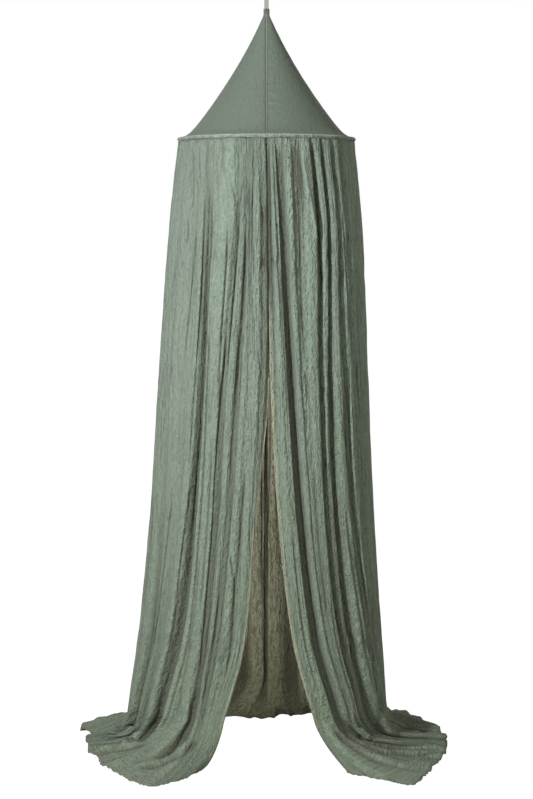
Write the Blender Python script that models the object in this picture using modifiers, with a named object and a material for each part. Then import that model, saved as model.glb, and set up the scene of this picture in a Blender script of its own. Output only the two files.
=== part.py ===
"""Bed canopy of crinkled cotton muslin on a cased hoop, as it hangs from a hook over a floor.

A cone roof of two gores rises from the hoop to a tape loop. Three curtain panels hang from the
hoop's casing to the floor: two front panels that part as a doorway, and one round the back. The
foot of every panel turns outwards and lies on the floor.

Metres, +Z up. The origin is where a hook bears inside the loop, so everything hangs below it.
Heights in the tables are above the floor. A bearing is in degrees round the hoop from the middle of
the doorway, which faces -Y; it grows to the left (-X) or to the right (+X) as far as 180 at the back.
"""

import math
from collections import namedtuple

import bmesh
import bpy
from mathutils import Vector

# ---------------------------------------------------------------- driving dimensions
HOOK_HEIGHT = 2.553  # the hook's bearing point above the floor
APEX_HEIGHT = 2.492  # tip of the roof
HOOP_HEIGHT = 2.058  # centre of the hoop's rod
HOOP_RADIUS = 0.292  # axis to the centre of the rod
ROD_RADIUS = 0.004

CLOTH = 0.0020  # thickness of a single muslin sheet as a solid
SEAM_GAP = 0.0003  # between pieces that are sewn together
PANEL_INSET = 0.0006  # each side of a seam between two folded panels

CASING_INSIDE = 0.0052  # inner radius of the sleeve round the rod
CASING_CLOTH = 0.0014
CASING_OUTSIDE = CASING_INSIDE + CASING_CLOTH
CASING_SLIT = 50.0  # degrees of the sleeve left open on its inner side
CURTAIN_TOP = HOOP_HEIGHT - CASING_OUTSIDE - SEAM_GAP

TAPE_WIDTH = 0.015
TAPE_THICKNESS = 0.0015
EYE_LENGTH = 0.030
EYE_WIDTH = 0.009
TAPE_TAIL = 0.075  # from the hook's bearing point down to the tape's sewn end

ROOF_TIP_RADIUS = 0.0093  # the hole at the tip, round the tape
ROOF_SPREAD = 0.42  # the roof's radius grows by this times the depth below the tip,
ROOF_FLARE = 0.47  # and by this times the depth squared
ROOF_LIP_DEPTH = 0.010  # and it turns out to meet the casing over about this depth
ROOF_ROW_CROWDING = 1.6  # above 1, rows of the mesh crowd towards the casing
ROOF_SEAT = 135.0  # degrees round the casing's section, from outside over the top, to the seam

RING_STEPS = 40
COLUMN_SPACING = 0.036  # columns of a panel's mesh, measured along its hem
COLUMNS_IN_FOLD = 2  # at least, from each ridge to the next groove

# The curtains' outline: half widths to the left and right, and depths to the front and back.
HEIGHTS = (CURTAIN_TOP, 1.78, 1.28, 0.825, 0.42, 0.155)
LEFT_HALF = (0.296, 0.326, 0.364, 0.393, 0.433, 0.472)
RIGHT_HALF = (0.296, 0.322, 0.344, 0.364, 0.390, 0.409)
FRONT_DEPTH = (0.296, 0.308, 0.320, 0.328, 0.336, 0.345)
BACK_DEPTH = (0.296, 0.310, 0.326, 0.336, 0.342, 0.346)

GATHER_REACH = 0.070  # the pleats reach their full depth this far below the casing
SEWN_DEPTH = 0.25  # share of a pleat's depth at the casing itself

WALL_ROWS = (CURTAIN_TOP, 2.005, 1.93, 1.78, 1.54, 1.28, 1.04, 0.825, 0.60, 0.42, 0.27, 0.155)
FOOT_ROWS = 8  # from the lowest wall row to the hem
FOOT_DROP = 0.085  # how steeply the cloth still falls where it leaves the wall,
FOOT_LEAN = 0.22  # and how much it already leans towards the place where it lands
LAID_HEIGHT = 0.0030  # middle of the cloth above the floor where it lies flat

# Each row is the line of a ridge or a groove, from the front edge of its panel to the back.
# bearing and depth (millimetres in from the outline) are given at each of HEIGHTS, lift is the
# height in millimetres that the line keeps on the floor, and place is where it meets the hem, as a
# share of the hem's length.
Fold = namedtuple("Fold", "name bearing depth lift place")

LEFT_FOLDS = (
    Fold("door edge", (1.6, 0.8, 1.2, 6.0, 9.7, 17.6), (8, 14, 12, 8, 5, 3), 2, 0.00),
    Fold("door ridge", (5.0, 5.4, 5.2, 9.0, 12.3, 20.5), (2, 0, 0, 0, 0, 0), 6, 0.07),
    Fold("door crease", (8.0, 7.8, 8.6, 12.0, 15.8, 22.8), (4, 6, 5, 9, 10, 6), 3, 0.12),
    Fold("second ridge", (9.6, 9.1, 11.1, 15.2, 19.3, 25.0), (1, 1, 0, 0, 0, 0), 6, 0.17),
    Fold("second crease", (11.4, 10.8, 14.7, 18.7, 22.8, 27.0), (4, 9, 12, 12, 12, 8), 3, 0.22),
    Fold("third ridge", (13.9, 13.4, 18.6, 21.7, 25.4, 28.8), (0, 0, 1, 0, 2, 2), 7, 0.27),
    Fold("third crease", (17.0, 16.0, 22.6, 24.9, 28.3, 31.2), (3, 9, 11, 14, 17, 22), 1, 0.36),
    Fold("broad face near", (21.8, 20.5, 26.0, 28.0, 31.5, 35.2), (0, 0, 0, 1, 2, 2), 12, 0.44),
    Fold("broad face", (27.4, 25.2, 29.4, 31.2, 34.5, 39.0), (1, 0, 0, 0, 0, 0), 14, 0.56),
    Fold("broad face far", (32.4, 30.4, 32.4, 34.4, 37.8, 44.0), (1, 1, 3, 4, 3, 0), 12, 0.68),
    Fold("deep fold", (37.4, 35.7, 35.9, 38.6, 43.2, 50.9), (2, 10, 22, 28, 32, 30), 1, 0.79),
    Fold("side face", (42.7, 40.7, 40.8, 44.0, 50.0, 57.0), (0, 0, 0, 0, 0, 2), 16, 0.83),
    Fold("side crease", (50.0, 46.5, 47.9, 50.4, 54.6, 61.0), (3, 5, 5, 6, 7, 9), 8, 0.86),
    Fold("outer face", (57.4, 54.6, 57.0, 56.6, 58.6, 64.2), (0, 0, 0, 0, 0, 0), 15, 0.89),
    Fold("outer crease", (65.3, 62.7, 65.9, 62.4, 62.2, 67.6), (3, 3, 4, 9, 17, 22), 4, 0.92),
    Fold("outline ridge", (75.0, 74.0, 75.0, 72.0, 71.0, 75.0), (0, 0, 0, 0, 0, 0), 18, 0.95),
    Fold("outline crease", (84.0, 84.0, 83.0, 81.0, 81.0, 84.0), (5, 7, 8, 8, 9, 9), 8, 0.97),
    Fold("side ridge", (92.0, 92.0, 92.0, 91.0, 92.0, 94.0), (0, 0, 0, 0, 0, 0), 16, 0.985),
    Fold("side seam", (100.0, 100.0, 100.0, 101.0, 102.0, 104.0), (5, 8, 9, 10, 11, 12), 12, 1.00),
)

RIGHT_FOLDS = (
    Fold("door edge", (0.3, 1.0, 2.1, 6.0, 12.8, 22.5), (8, 22, 16, 8, 5, 3), 2, 0.00),
    Fold("door ridge", (2.6, 4.3, 8.0, 11.4, 17.2, 26.1), (1, 0, 0, 0, 0, 0), 7, 0.12),
    Fold("door face", (4.0, 6.0, 9.6, 13.6, 20.0, 30.0), (4, 7, 3, 2, 1, 0), 9, 0.36),
    Fold("deep pleat", (6.0, 9.1, 13.6, 18.6, 25.3, 36.4), (8, 24, 30, 32, 32, 24), 1, 0.74),
    Fold("second face", (11.5, 13.4, 17.2, 22.4, 29.6, 40.6), (0, 0, 0, 0, 0, 0), 20, 0.78),
    Fold("soft pleat", (19.2, 19.7, 21.1, 25.2, 32.0, 43.2), (11, 13, 8, 4, 3, 4), 14, 0.80),
    Fold("third face", (23.9, 26.2, 26.8, 28.8, 34.7, 45.9), (0, 0, 0, 0, 0, 0), 20, 0.82),
    Fold("fourth pleat", (29.6, 32.7, 32.2, 33.6, 39.6, 50.2), (12, 24, 24, 24, 28, 26), 10, 0.84),
    Fold("sunk ridge", (33.0, 36.3, 35.4, 37.0, 43.2, 53.2), (0, 4, 11, 13, 15, 16), 14, 0.855),
    Fold("fifth pleat", (36.5, 39.8, 38.8, 40.7, 47.2, 56.9), (11, 26, 30, 34, 38, 34), 8, 0.87),
    Fold("fifth face", (40.6, 43.2, 44.2, 46.5, 54.1, 65.0), (0, 0, 0, 0, 0, 0), 20, 0.89),
    Fold("sixth pleat", (45.1, 47.2, 49.4, 51.8, 60.8, 71.5), (10, 22, 22, 22, 22, 17), 8, 0.905),
    Fold("sixth face", (49.4, 50.8, 53.6, 57.0, 64.6, 75.5), (0, 0, 0, 0, 0, 0), 17, 0.92),
    Fold("seventh pleat", (53.8, 54.6, 58.1, 62.6, 68.6, 79.0), (9, 15, 15, 16, 14, 11), 8, 0.935),
    Fold("seventh face", (59.9, 60.2, 62.9, 67.6, 73.0, 82.5), (0, 0, 0, 0, 0, 0), 16, 0.95),
    Fold("eighth pleat", (66.9, 67.3, 69.2, 73.6, 78.0, 86.0), (7, 9, 9, 9, 9, 8), 8, 0.96),
    Fold("outline ridge", (77.0, 77.0, 78.0, 81.0, 84.0, 90.5), (0, 0, 0, 0, 0, 0), 18, 0.97),
    Fold("outline crease", (85.0, 85.0, 86.0, 88.0, 90.0, 95.0), (6, 9, 10, 10, 10, 9), 9, 0.98),
    Fold("side ridge", (93.0, 93.0, 93.0, 94.0, 95.0, 99.0), (0, 0, 0, 0, 0, 0), 17, 0.99),
    Fold("side seam", (100.0, 100.0, 100.0, 101.0, 102.0, 104.0), (6, 9, 10, 11, 12, 12), 12, 1.00),
)

# The back panel's folds are worked out: ridges and grooves in turn, drifting off even spacing.
BACK_FOLDS = 13
BACK_DRIFT = 2.6  # degrees
BACK_DEPTH_RANGE = (9.0, 19.0)  # millimetres
BACK_LIFT_RANGE = (5.0, 62.0)  # millimetres on the floor, high at the sides and low in the middle

# On the floor: where the cloth lands and where its hem lies, seen from above, at each place along
# the hem.
Laid = namedtuple("Laid", "place foot_x foot_y hem_x hem_y")

LEFT_LAID = (
    Laid(0.00, -0.192, -0.345, -0.210, -0.362),
    Laid(0.10, -0.225, -0.385, -0.258, -0.472),
    Laid(0.25, -0.290, -0.425, -0.366, -0.572),
    Laid(0.33, -0.325, -0.370, -0.426, -0.512),
    Laid(0.41, -0.355, -0.305, -0.470, -0.438),
    Laid(0.53, -0.395, -0.225, -0.536, -0.340),
    Laid(0.65, -0.420, -0.150, -0.561, -0.223),
    Laid(0.74, -0.435, -0.100, -0.598, -0.150),
    Laid(0.85, -0.450, -0.040, -0.605, -0.050),
    Laid(0.93, -0.470, 0.020, -0.620, 0.020),
    Laid(1.00, -0.481, 0.110, -0.596, 0.090),
)

RIGHT_LAID = (
    Laid(0.00, 0.262, -0.350, 0.260, -0.408),
    Laid(0.18, 0.310, -0.415, 0.392, -0.516),
    Laid(0.26, 0.330, -0.425, 0.460, -0.562),
    Laid(0.36, 0.345, -0.360, 0.506, -0.462),
    Laid(0.52, 0.360, -0.270, 0.558, -0.300),
    Laid(0.65, 0.380, -0.190, 0.594, -0.188),
    Laid(0.77, 0.400, -0.120, 0.612, -0.080),
    Laid(0.85, 0.409, -0.070, 0.617, -0.005),
    Laid(0.92, 0.430, 0.000, 0.619, 0.060),
    Laid(1.00, 0.440, 0.110, 0.612, 0.125),
)

BACK_LAID = (
    Laid(0.00, -0.481, 0.110, -0.596, 0.090),
    Laid(0.07, -0.475, 0.155, -0.652, 0.160),
    Laid(0.15, -0.455, 0.220, -0.634, 0.265),
    Laid(0.25, -0.420, 0.300, -0.560, 0.400),
    Laid(0.37, -0.280, 0.300, -0.400, 0.475),
    Laid(0.45, -0.150, 0.300, -0.190, 0.390),
    Laid(0.515, 0.000, 0.295, -0.020, 0.350),
    Laid(0.545, 0.050, 0.300, 0.045, 0.385),
    Laid(0.60, 0.140, 0.300, 0.165, 0.400),
    Laid(0.66, 0.250, 0.300, 0.320, 0.470),
    Laid(0.76, 0.360, 0.290, 0.460, 0.460),
    Laid(0.84, 0.405, 0.240, 0.525, 0.350),
    Laid(0.92, 0.430, 0.175, 0.573, 0.225),
    Laid(1.00, 0.440, 0.110, 0.612, 0.125),
)

# ---------------------------------------------------------------- materials
SAGE = (0.245, 0.315, 0.255)
SAGE_DEEP = (0.190, 0.245, 0.195)
SAGE_PALE = (0.330, 0.400, 0.330)
TAPE_GREY = (0.300, 0.310, 0.285)
ROD_WHITE = (0.700, 0.700, 0.680)


def material(name, colour, roughness):
    """A plain Principled finish."""
    finish = bpy.data.materials.new(name)
    finish.use_nodes = True
    shader = finish.node_tree.nodes["Principled BSDF"]
    shader.inputs["Base Color"].default_value = (*colour, 1.0)
    shader.inputs["Roughness"].default_value = roughness
    shader.inputs["Metallic"].default_value = 0.0
    return finish


# ---------------------------------------------------------------- helpers
def smooth_step(amount):
    amount = min(1.0, max(0.0, amount))
    return amount * amount * (3.0 - 2.0 * amount)


def curve_value(stops, values, at):
    """The value at a stop along a smooth curve through (stop, value) pairs; stops rise or fall."""
    if stops[0] > stops[-1]:
        stops, values = stops[::-1], values[::-1]
    at = min(stops[-1], max(stops[0], at))
    last = len(stops) - 1
    span = next(i for i in range(last) if at <= stops[i + 1])

    def slope(i):
        before, after = max(0, i - 1), min(last, i + 1)
        return (values[after] - values[before]) / (stops[after] - stops[before])

    width = stops[span + 1] - stops[span]
    t = (at - stops[span]) / width
    return (
        values[span] * (2 * t**3 - 3 * t**2 + 1)
        + values[span + 1] * (3 * t**2 - 2 * t**3)
        + width * slope(span) * (t**3 - 2 * t**2 + t)
        + width * slope(span + 1) * (t**3 - t**2)
    )


def hung(x, y, height):
    """A point given by its height above the floor, in the frame of the hook."""
    return Vector((x, y, height - HOOK_HEIGHT))


def new_object(name, mesh, finish, collection):
    mesh.materials.append(finish)
    piece = bpy.data.objects.new(name, mesh)
    collection.objects.link(piece)
    return piece


def grid_sheet(name, columns, rows, place, thickness, finish, collection):
    """A sheet whose grid points are set by place(column, row), given its thickness both ways."""
    grid = bmesh.new()
    bmesh.ops.create_grid(grid, x_segments=columns, y_segments=rows, size=1.0)
    for vert in grid.verts:
        column = round((vert.co.x + 1.0) / 2.0 * columns)
        row = round((vert.co.y + 1.0) / 2.0 * rows)
        vert.co = place(column, row)
    mesh = bpy.data.meshes.new(name)
    grid.to_mesh(mesh)
    grid.free()
    mesh.shade_smooth()
    piece = new_object(name, mesh, finish, collection)
    skin = piece.modifiers.new("thickness", "SOLIDIFY")
    skin.thickness = thickness
    skin.offset = 0.0
    return piece


# ---------------------------------------------------------------- curtains
def outline_point(side, bearing, height, depth):
    """A point of the hanging wall, depth in from the curtains' outline."""
    half = curve_value(HEIGHTS, RIGHT_HALF if side > 0 else LEFT_HALF, height)
    angle = math.radians(bearing)
    reach = curve_value(HEIGHTS, FRONT_DEPTH if bearing < 90.0 else BACK_DEPTH, height)
    x = side * (half - depth) * math.sin(angle)
    y = -(reach - depth) * math.cos(angle)
    return hung(x, y, height)


def gather(height):
    """Share of a pleat's full depth at a height: small where it is sewn to the casing."""
    below = (HEIGHTS[0] - height) / GATHER_REACH
    return SEWN_DEPTH + (1.0 - SEWN_DEPTH) * smooth_step(below)


def hem_length(laid):
    return sum(
        math.dist((a.hem_x, a.hem_y), (b.hem_x, b.hem_y)) for a, b in zip(laid, laid[1:])
    )


def spread_columns(folds, laid):
    """Columns of a panel as (fold index, share of the way to the next fold)."""
    length = hem_length(laid)
    columns = []
    for index, (near, far) in enumerate(zip(folds, folds[1:])):
        wanted = round((far.place - near.place) * length / COLUMN_SPACING)
        steps = max(COLUMNS_IN_FOLD, wanted)
        columns += [(index, step / steps) for step in range(steps)]
    columns.append((len(folds) - 2, 1.0))
    return columns


def trim_to_seam(columns, folds, laid, first, last):
    """Moves the first or last column in from the seam that it makes with the next panel."""
    length = hem_length(laid)
    if first:
        near, far = folds[0], folds[1]
        columns[0] = (0, PANEL_INSET / max(PANEL_INSET, (far.place - near.place) * length))
    if last:
        near, far = folds[-2], folds[-1]
        columns[-1] = (
            len(folds) - 2,
            1.0 - PANEL_INSET / max(PANEL_INSET, (far.place - near.place) * length),
        )
    return columns


def panel_point(side, folds, laid, column, row):
    """A point of a panel; rows run down the wall, then over the foot and along the floor."""
    index, share = column
    near, far = folds[index], folds[index + 1]
    swell = 0.5 - 0.5 * math.cos(math.pi * share)  # rounds the ridges and the grooves
    height = WALL_ROWS[min(row, len(WALL_ROWS) - 1)]

    def across(field, at, amount):
        return (1.0 - amount) * curve_value(HEIGHTS, getattr(near, field), at) + (
            amount * curve_value(HEIGHTS, getattr(far, field), at)
        )

    bearing = across("bearing", height, share)
    depth = across("depth", height, swell) / 1000.0 * gather(height)
    wall = outline_point(side, bearing, height, depth)
    if row < len(WALL_ROWS):
        return wall

    along = (row - len(WALL_ROWS) + 1) / FOOT_ROWS
    place = (1.0 - share) * near.place + share * far.place
    places = [stop.place for stop in laid]
    foot = [curve_value(places, [getattr(stop, axis) for stop in laid], place)
            for axis in ("foot_x", "foot_y")]
    hem = [curve_value(places, [getattr(stop, axis) for stop in laid], place)
           for axis in ("hem_x", "hem_y")]
    lift = ((1.0 - swell) * near.lift + swell * far.lift) / 1000.0
    above = outline_point(side, bearing, height + FOOT_DROP, depth)
    landing = hung(*foot, LAID_HEIGHT + lift * 1.5)
    leaving = wall + (wall - above)
    leaving += FOOT_LEAN * Vector((landing.x - leaving.x, landing.y - leaving.y, 0.0))
    ending = hung(*hem, LAID_HEIGHT + lift * 0.35)
    left = 1.0 - along
    return (
        wall * left**3
        + leaving * 3.0 * left**2 * along
        + landing * 3.0 * left * along**2
        + ending * along**3
    )


def back_folds():
    """The back panel's fold lines, from the left side seam round to the right one."""
    left, right = LEFT_FOLDS[-1], RIGHT_FOLDS[-1]
    last = 2 * BACK_FOLDS
    shallow, deep = BACK_DEPTH_RANGE
    low, high = BACK_LIFT_RANGE
    folds = []
    for index in range(last + 1):
        share = index / last
        if index in (0, last):
            end = left if index == 0 else right
            depth, lift = end.depth, end.lift
        else:
            grooved = index % 2 == 0
            uneven = 0.5 + 0.5 * math.sin(2.3 * index + 0.7)
            full = shallow + (deep - shallow) * uneven
            depth = tuple((full if grooved else 0.0) for _ in HEIGHTS)
            sideways = abs(2.0 * share - 1.0)
            hump = low + (high - low) * sideways * (0.6 + 0.4 * uneven)
            lift = hump * (0.35 if grooved else 1.0)
        drift = BACK_DRIFT * math.sin(1.7 * index) * math.sin(math.pi * share)
        bearing = tuple(
            a + (360.0 - b - a) * share + drift * (1.0 if k < 3 else 1.4)
            for k, (a, b) in enumerate(zip(left.bearing, right.bearing))
        )
        folds.append(Fold(f"back {index}", bearing, depth, lift, share))
    return folds


def back_point(folds, column, row):
    """As panel_point, on a panel that passes from the left half to the right half."""
    index, share = column
    turned = folds[index].bearing[0] * (1.0 - share) + folds[index + 1].bearing[0] * share
    if turned <= 180.0:
        return panel_point(-1, folds, BACK_LAID, column, row)
    mirrored = [fold._replace(bearing=tuple(360.0 - b for b in fold.bearing)) for fold in folds]
    return panel_point(1, mirrored, BACK_LAID, column, row)


def curtain(name, side, folds, laid, finish, collection):
    """One panel. Side is -1 on the left, 1 on the right and 0 round the back."""
    columns = spread_columns(folds, laid)
    columns = trim_to_seam(columns, folds, laid, first=side == 0, last=True)
    rows = len(WALL_ROWS) - 1 + FOOT_ROWS

    def place(column, row):
        if side:
            return panel_point(side, folds, laid, columns[column], row)
        return back_point(folds, columns[column], row)

    return grid_sheet(name, len(columns) - 1, rows, place, CLOTH, finish, collection)


# ---------------------------------------------------------------- roof, hoop and loop
def roof_gore(name, side, finish, collection):
    """Half of the cone, from the front seam to the back seam, hollowed as hung cloth is."""
    seat = math.radians(ROOF_SEAT)
    reach = CASING_OUTSIDE + 2.0 * SEAM_GAP
    foot_radius = HOOP_RADIUS + reach * math.cos(seat)
    height = APEX_HEIGHT - (HOOP_HEIGHT + reach * math.sin(seat))
    columns, rows = RING_STEPS // 2, 13
    lip = foot_radius - ROOF_SPREAD * height - ROOF_FLARE * height**2

    def place(column, row):
        depth = height * (1.0 - (1.0 - row / rows) ** ROOF_ROW_CROWDING)
        turn_out = lip * math.exp((depth - height) / ROOF_LIP_DEPTH)
        radius = ROOF_SPREAD * depth + ROOF_FLARE * depth**2 + turn_out
        radius = max(ROOF_TIP_RADIUS, radius)
        seam = (0.5 * SEAM_GAP + 0.0001) / radius
        angle = seam + (math.pi - 2.0 * seam) * column / columns
        x, y = side * radius * math.sin(angle), -radius * math.cos(angle)
        return hung(x, y, APEX_HEIGHT - depth)

    return grid_sheet(name, columns, rows, place, CLOTH, finish, collection)


def hoop(finish, collection):
    """The plain rod ring."""
    bpy.ops.mesh.primitive_torus_add(
        major_radius=HOOP_RADIUS,
        minor_radius=ROD_RADIUS,
        major_segments=RING_STEPS,
        minor_segments=8,
        location=hung(0.0, 0.0, HOOP_HEIGHT),
    )
    ring = bpy.context.object
    ring.name = ring.data.name = "hoop"
    for owner in ring.users_collection:
        owner.objects.unlink(ring)
    collection.objects.link(ring)
    ring.data.materials.append(finish)
    ring.data.shade_smooth()
    return ring


def hoop_casing(finish, collection):
    """The sleeve round the rod: an open ring section, turned round the hoop's axis."""
    radius = 0.5 * (CASING_INSIDE + CASING_OUTSIDE)
    steps = 8
    profile = bmesh.new()
    opening = math.radians(CASING_SLIT)
    ring = []
    for step in range(steps + 1):
        angle = math.pi - 0.5 * opening - (2.0 * math.pi - opening) * step / steps
        ring.append(profile.verts.new(
            (HOOP_RADIUS + radius * math.cos(angle), 0.0, radius * math.sin(angle))
        ))
    for upper, lower in zip(ring, ring[1:]):
        profile.edges.new((upper, lower))
    mesh = bpy.data.meshes.new("hoop_casing")
    profile.to_mesh(mesh)
    profile.free()
    piece = new_object("hoop_casing", mesh, finish, collection)
    piece.location = hung(0.0, 0.0, HOOP_HEIGHT)
    turn = piece.modifiers.new("turn", "SCREW")
    turn.angle = 2.0 * math.pi
    turn.steps = turn.render_steps = RING_STEPS
    turn.use_merge_vertices = True
    turn.merge_threshold = 0.0001
    skin = piece.modifiers.new("thickness", "SOLIDIFY")
    skin.thickness = CASING_CLOTH
    skin.offset = 0.0
    return piece


def hanging_loop(finish, collection):
    """A tape doubled over: its two layers lie together, and part at the top round a long eye."""
    tape = bpy.data.curves.new("hanging_loop", "CURVE")
    tape.dimensions = "2D"
    tape.fill_mode = "BOTH"
    tape.extrude = 0.5 * TAPE_WIDTH

    def eye_half(share):
        """Half width of the eye from its bottom (0) to its rounded top (1)."""
        top = 0.75
        if share < top:
            return 0.5 * EYE_WIDTH * smooth_step(share / top)
        return 0.5 * EYE_WIDTH * math.sqrt(max(0.0, 1.0 - ((share - top) / (1.0 - top)) ** 2))

    def outline(points):
        spline = tape.splines.new("POLY")
        spline.points.add(len(points) - 1)
        for point, (y, z) in zip(spline.points, points):
            point.co = (y, z, 0.0, 1.0)
        spline.use_cyclic_u = True

    steps = 12
    shares = [step / steps for step in range(steps + 1)]
    half = [(eye_half(share), EYE_LENGTH * (share - 1.0)) for share in shares]
    eye = half + [(-y, z) for y, z in reversed(half[1:-1])]
    rim = [(TAPE_THICKNESS, -TAPE_TAIL), (TAPE_THICKNESS, -EYE_LENGTH * 1.1)]
    for y, z in half[1:-1]:
        rim.append((y + TAPE_THICKNESS, z))
    rim.append((0.45 * EYE_WIDTH, 0.6 * TAPE_THICKNESS))
    rim.append((0.0, TAPE_THICKNESS))
    outline(rim + [(-y, z) for y, z in reversed(rim[:-1])])
    outline(eye)
    piece = bpy.data.objects.new("hanging_loop", tape)
    tape.materials.append(finish)
    collection.objects.link(piece)
    piece.rotation_euler = (math.radians(90.0), 0.0, math.radians(90.0))
    return piece


def main():
    for old in list(bpy.data.objects):
        bpy.data.objects.remove(old, do_unlink=True)
    canopy = bpy.data.collections.new("bed_canopy")
    bpy.context.scene.collection.children.link(canopy)

    curtain_cloth = material("sage_muslin", SAGE, 0.9)
    roof_cloth = material("sage_muslin_roof", SAGE_DEEP, 0.9)
    casing_cloth = material("sage_casing", SAGE_PALE, 0.85)
    tape = material("grey_tape", TAPE_GREY, 0.85)
    rod = material("white_rod", ROD_WHITE, 0.4)

    hanging_loop(tape, canopy)
    roof_gore("roof_left", -1, roof_cloth, canopy)
    roof_gore("roof_right", 1, roof_cloth, canopy)
    hoop(rod, canopy)
    hoop_casing(casing_cloth, canopy)
    curtain("curtain_left", -1, LEFT_FOLDS, LEFT_LAID, curtain_cloth, canopy)
    curtain("curtain_right", 1, RIGHT_FOLDS, RIGHT_LAID, curtain_cloth, canopy)
    curtain("curtain_back", 0, back_folds(), BACK_LAID, curtain_cloth, canopy)


main()
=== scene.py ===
# %% [markdown]
# # A hanging bed canopy of crinkled muslin
#
# The real thing is soft from top to bottom. A tape hangs on a hook, a cone of two gores is sewn
# to the tape, a cased hoop spreads the cone's foot, and three curtain panels hang from the casing
# and lie out over the floor. This lesson dresses the fixed CAD frame of that canopy: each soft
# solid gets a finer sheet of cloth on the same folds, and every surface gets its own finish.
#
# Everything is in metres, with +Z up. The origin is where the hook bears inside the tape's loop,
# so the floor is at a height of minus HOOK_HEIGHT. Heights in the tables are above the floor.

import math
from collections import namedtuple

import bmesh
import bpy
import numpy as np
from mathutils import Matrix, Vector, noise


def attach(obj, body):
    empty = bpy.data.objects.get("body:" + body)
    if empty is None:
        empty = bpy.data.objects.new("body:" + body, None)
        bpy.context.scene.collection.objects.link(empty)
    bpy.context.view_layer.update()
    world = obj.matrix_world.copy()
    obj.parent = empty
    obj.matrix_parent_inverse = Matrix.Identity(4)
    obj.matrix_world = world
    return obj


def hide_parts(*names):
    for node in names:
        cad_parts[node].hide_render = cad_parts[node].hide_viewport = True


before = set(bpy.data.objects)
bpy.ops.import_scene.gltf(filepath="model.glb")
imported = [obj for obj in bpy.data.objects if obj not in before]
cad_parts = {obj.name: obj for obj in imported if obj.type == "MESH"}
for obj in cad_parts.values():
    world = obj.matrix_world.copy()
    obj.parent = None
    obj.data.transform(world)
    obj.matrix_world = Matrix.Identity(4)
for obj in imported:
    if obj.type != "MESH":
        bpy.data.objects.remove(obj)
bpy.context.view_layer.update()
print("frame nodes:", ", ".join(sorted(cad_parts)))

# %% [markdown]
# ## Camera
#
# The photograph looks straight at the doorway from about seven metres away, from a tripod at
# 1.72 m, and very slightly downwards. A long lens keeps the walls nearly parallel, which is why the
# canopy looks tall and calm. The image is 533 by 799, so the long side sets the field of view.

# %% Camera
HOOK_HEIGHT = 2.553  # the hook's bearing point above the floor
CAMERA_DISTANCE = 7.0
CAMERA_HEIGHT = 1.72
CAMERA_DIP = 4.37  # degrees below level
FOCAL_PIXELS = 2074.0
IMAGE_HEIGHT = 799.0
SENSOR = 36.0

lens = bpy.data.cameras.new("camera")
lens.sensor_fit = "AUTO"
lens.sensor_width = SENSOR
lens.lens = SENSOR * FOCAL_PIXELS / IMAGE_HEIGHT
camera = bpy.data.objects.new("camera", lens)
camera.location = (0.0, -CAMERA_DISTANCE, CAMERA_HEIGHT - HOOK_HEIGHT)
camera.rotation_euler = (math.radians(90.0 - CAMERA_DIP), 0.0, 0.0)
bpy.context.scene.collection.objects.link(camera)
bpy.context.scene.camera = camera
print(f"camera: {lens.lens:.1f} mm lens")

# %% [markdown]
# ## Studio: floor and light
#
# The key light stands to the front left, as high as the cone, so the cloth gets duller towards the
# floor, and painted shade makes it darker and more olive there too. Broad, slightly warm fills open
# the shaded side and the back, and a weak light from all round reaches the grooves, which turn
# olive, helped by olive painted shade. The fills are sun lamps, because they must light the whole
# height evenly; a disc, in degrees, says how soft each is. A strip light inside the canopy shines
# across the back curtain. Sides are in degrees round from the camera's direction.

# %% Studio
KEY_SIDE = -32.0
KEY_DISTANCE, KEY_HEIGHT, KEY_ACROSS = 4.2, 2.45, 0.40  # metres
KEY_POWER = 276.0
Fill = namedtuple("Fill", "side rise disc strength")
FILLS = (
    Fill(34.0, 3.0, 40.0, 2.3),
    Fill(150.0, 6.0, 40.0, 1.3),
    Fill(-150.0, 6.0, 40.0, 1.5),
)
FILL_TINT = (1.0, 0.97, 0.89)
AROUND = (0.15, 0.139, 0.11)  # light from all round
INSIDE_WIDTH, INSIDE_LENGTH = 0.16, 1.70  # a strip light that stands inside the canopy
INSIDE_X, INSIDE_Y, INSIDE_HEIGHT = -0.19, -0.08, 0.95
INSIDE_TURN = -38.0  # degrees: it shines across the back curtain, so that the folds show
INSIDE_POWER = 6.4
INSIDE_TINT = (0.98, 0.98, 0.84)
FLOOR_REACH = 200.0
FLOOR_TONE = (0.12, 0.12, 0.12, 1.0)
FLOOR_GLOW = 1.0  # keeps the pale floor as bright as the backdrop
FLOOR_BOUNCE = (0.36, 0.36, 0.36, 1.0)  # what the floor sends back up to the cloth

bpy.context.scene.view_settings.view_transform = "Standard"


def shining(light, towards, place=(0.0, 0.0, 0.0)):
    """A lamp that shines from the side that `towards` points to."""
    made = bpy.data.objects.new(light.name, light)
    made.rotation_euler = Vector(towards).to_track_quat("Z", "Y").to_euler()
    made.location = place
    bpy.context.scene.collection.objects.link(made)
    return made


disk = bpy.data.lights.new("key", "AREA")
disk.shape, disk.size = "DISK", KEY_ACROSS
disk.energy = KEY_POWER
side = math.radians(KEY_SIDE)
key_place = Vector((
    KEY_DISTANCE * math.sin(side), -KEY_DISTANCE * math.cos(side), KEY_HEIGHT - HOOK_HEIGHT
))
shining(disk, key_place - Vector((0.0, 0.0, 0.5 * KEY_HEIGHT - HOOK_HEIGHT)), key_place)

for fill in FILLS:
    sun = bpy.data.lights.new("fill", "SUN")
    sun.energy, sun.color = fill.strength, FILL_TINT
    sun.angle = math.radians(fill.disc)
    side, rise = math.radians(fill.side), math.radians(fill.rise)
    level = math.cos(rise)
    shining(sun, (math.sin(side) * level, -math.cos(side) * level, math.sin(rise)))

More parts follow.
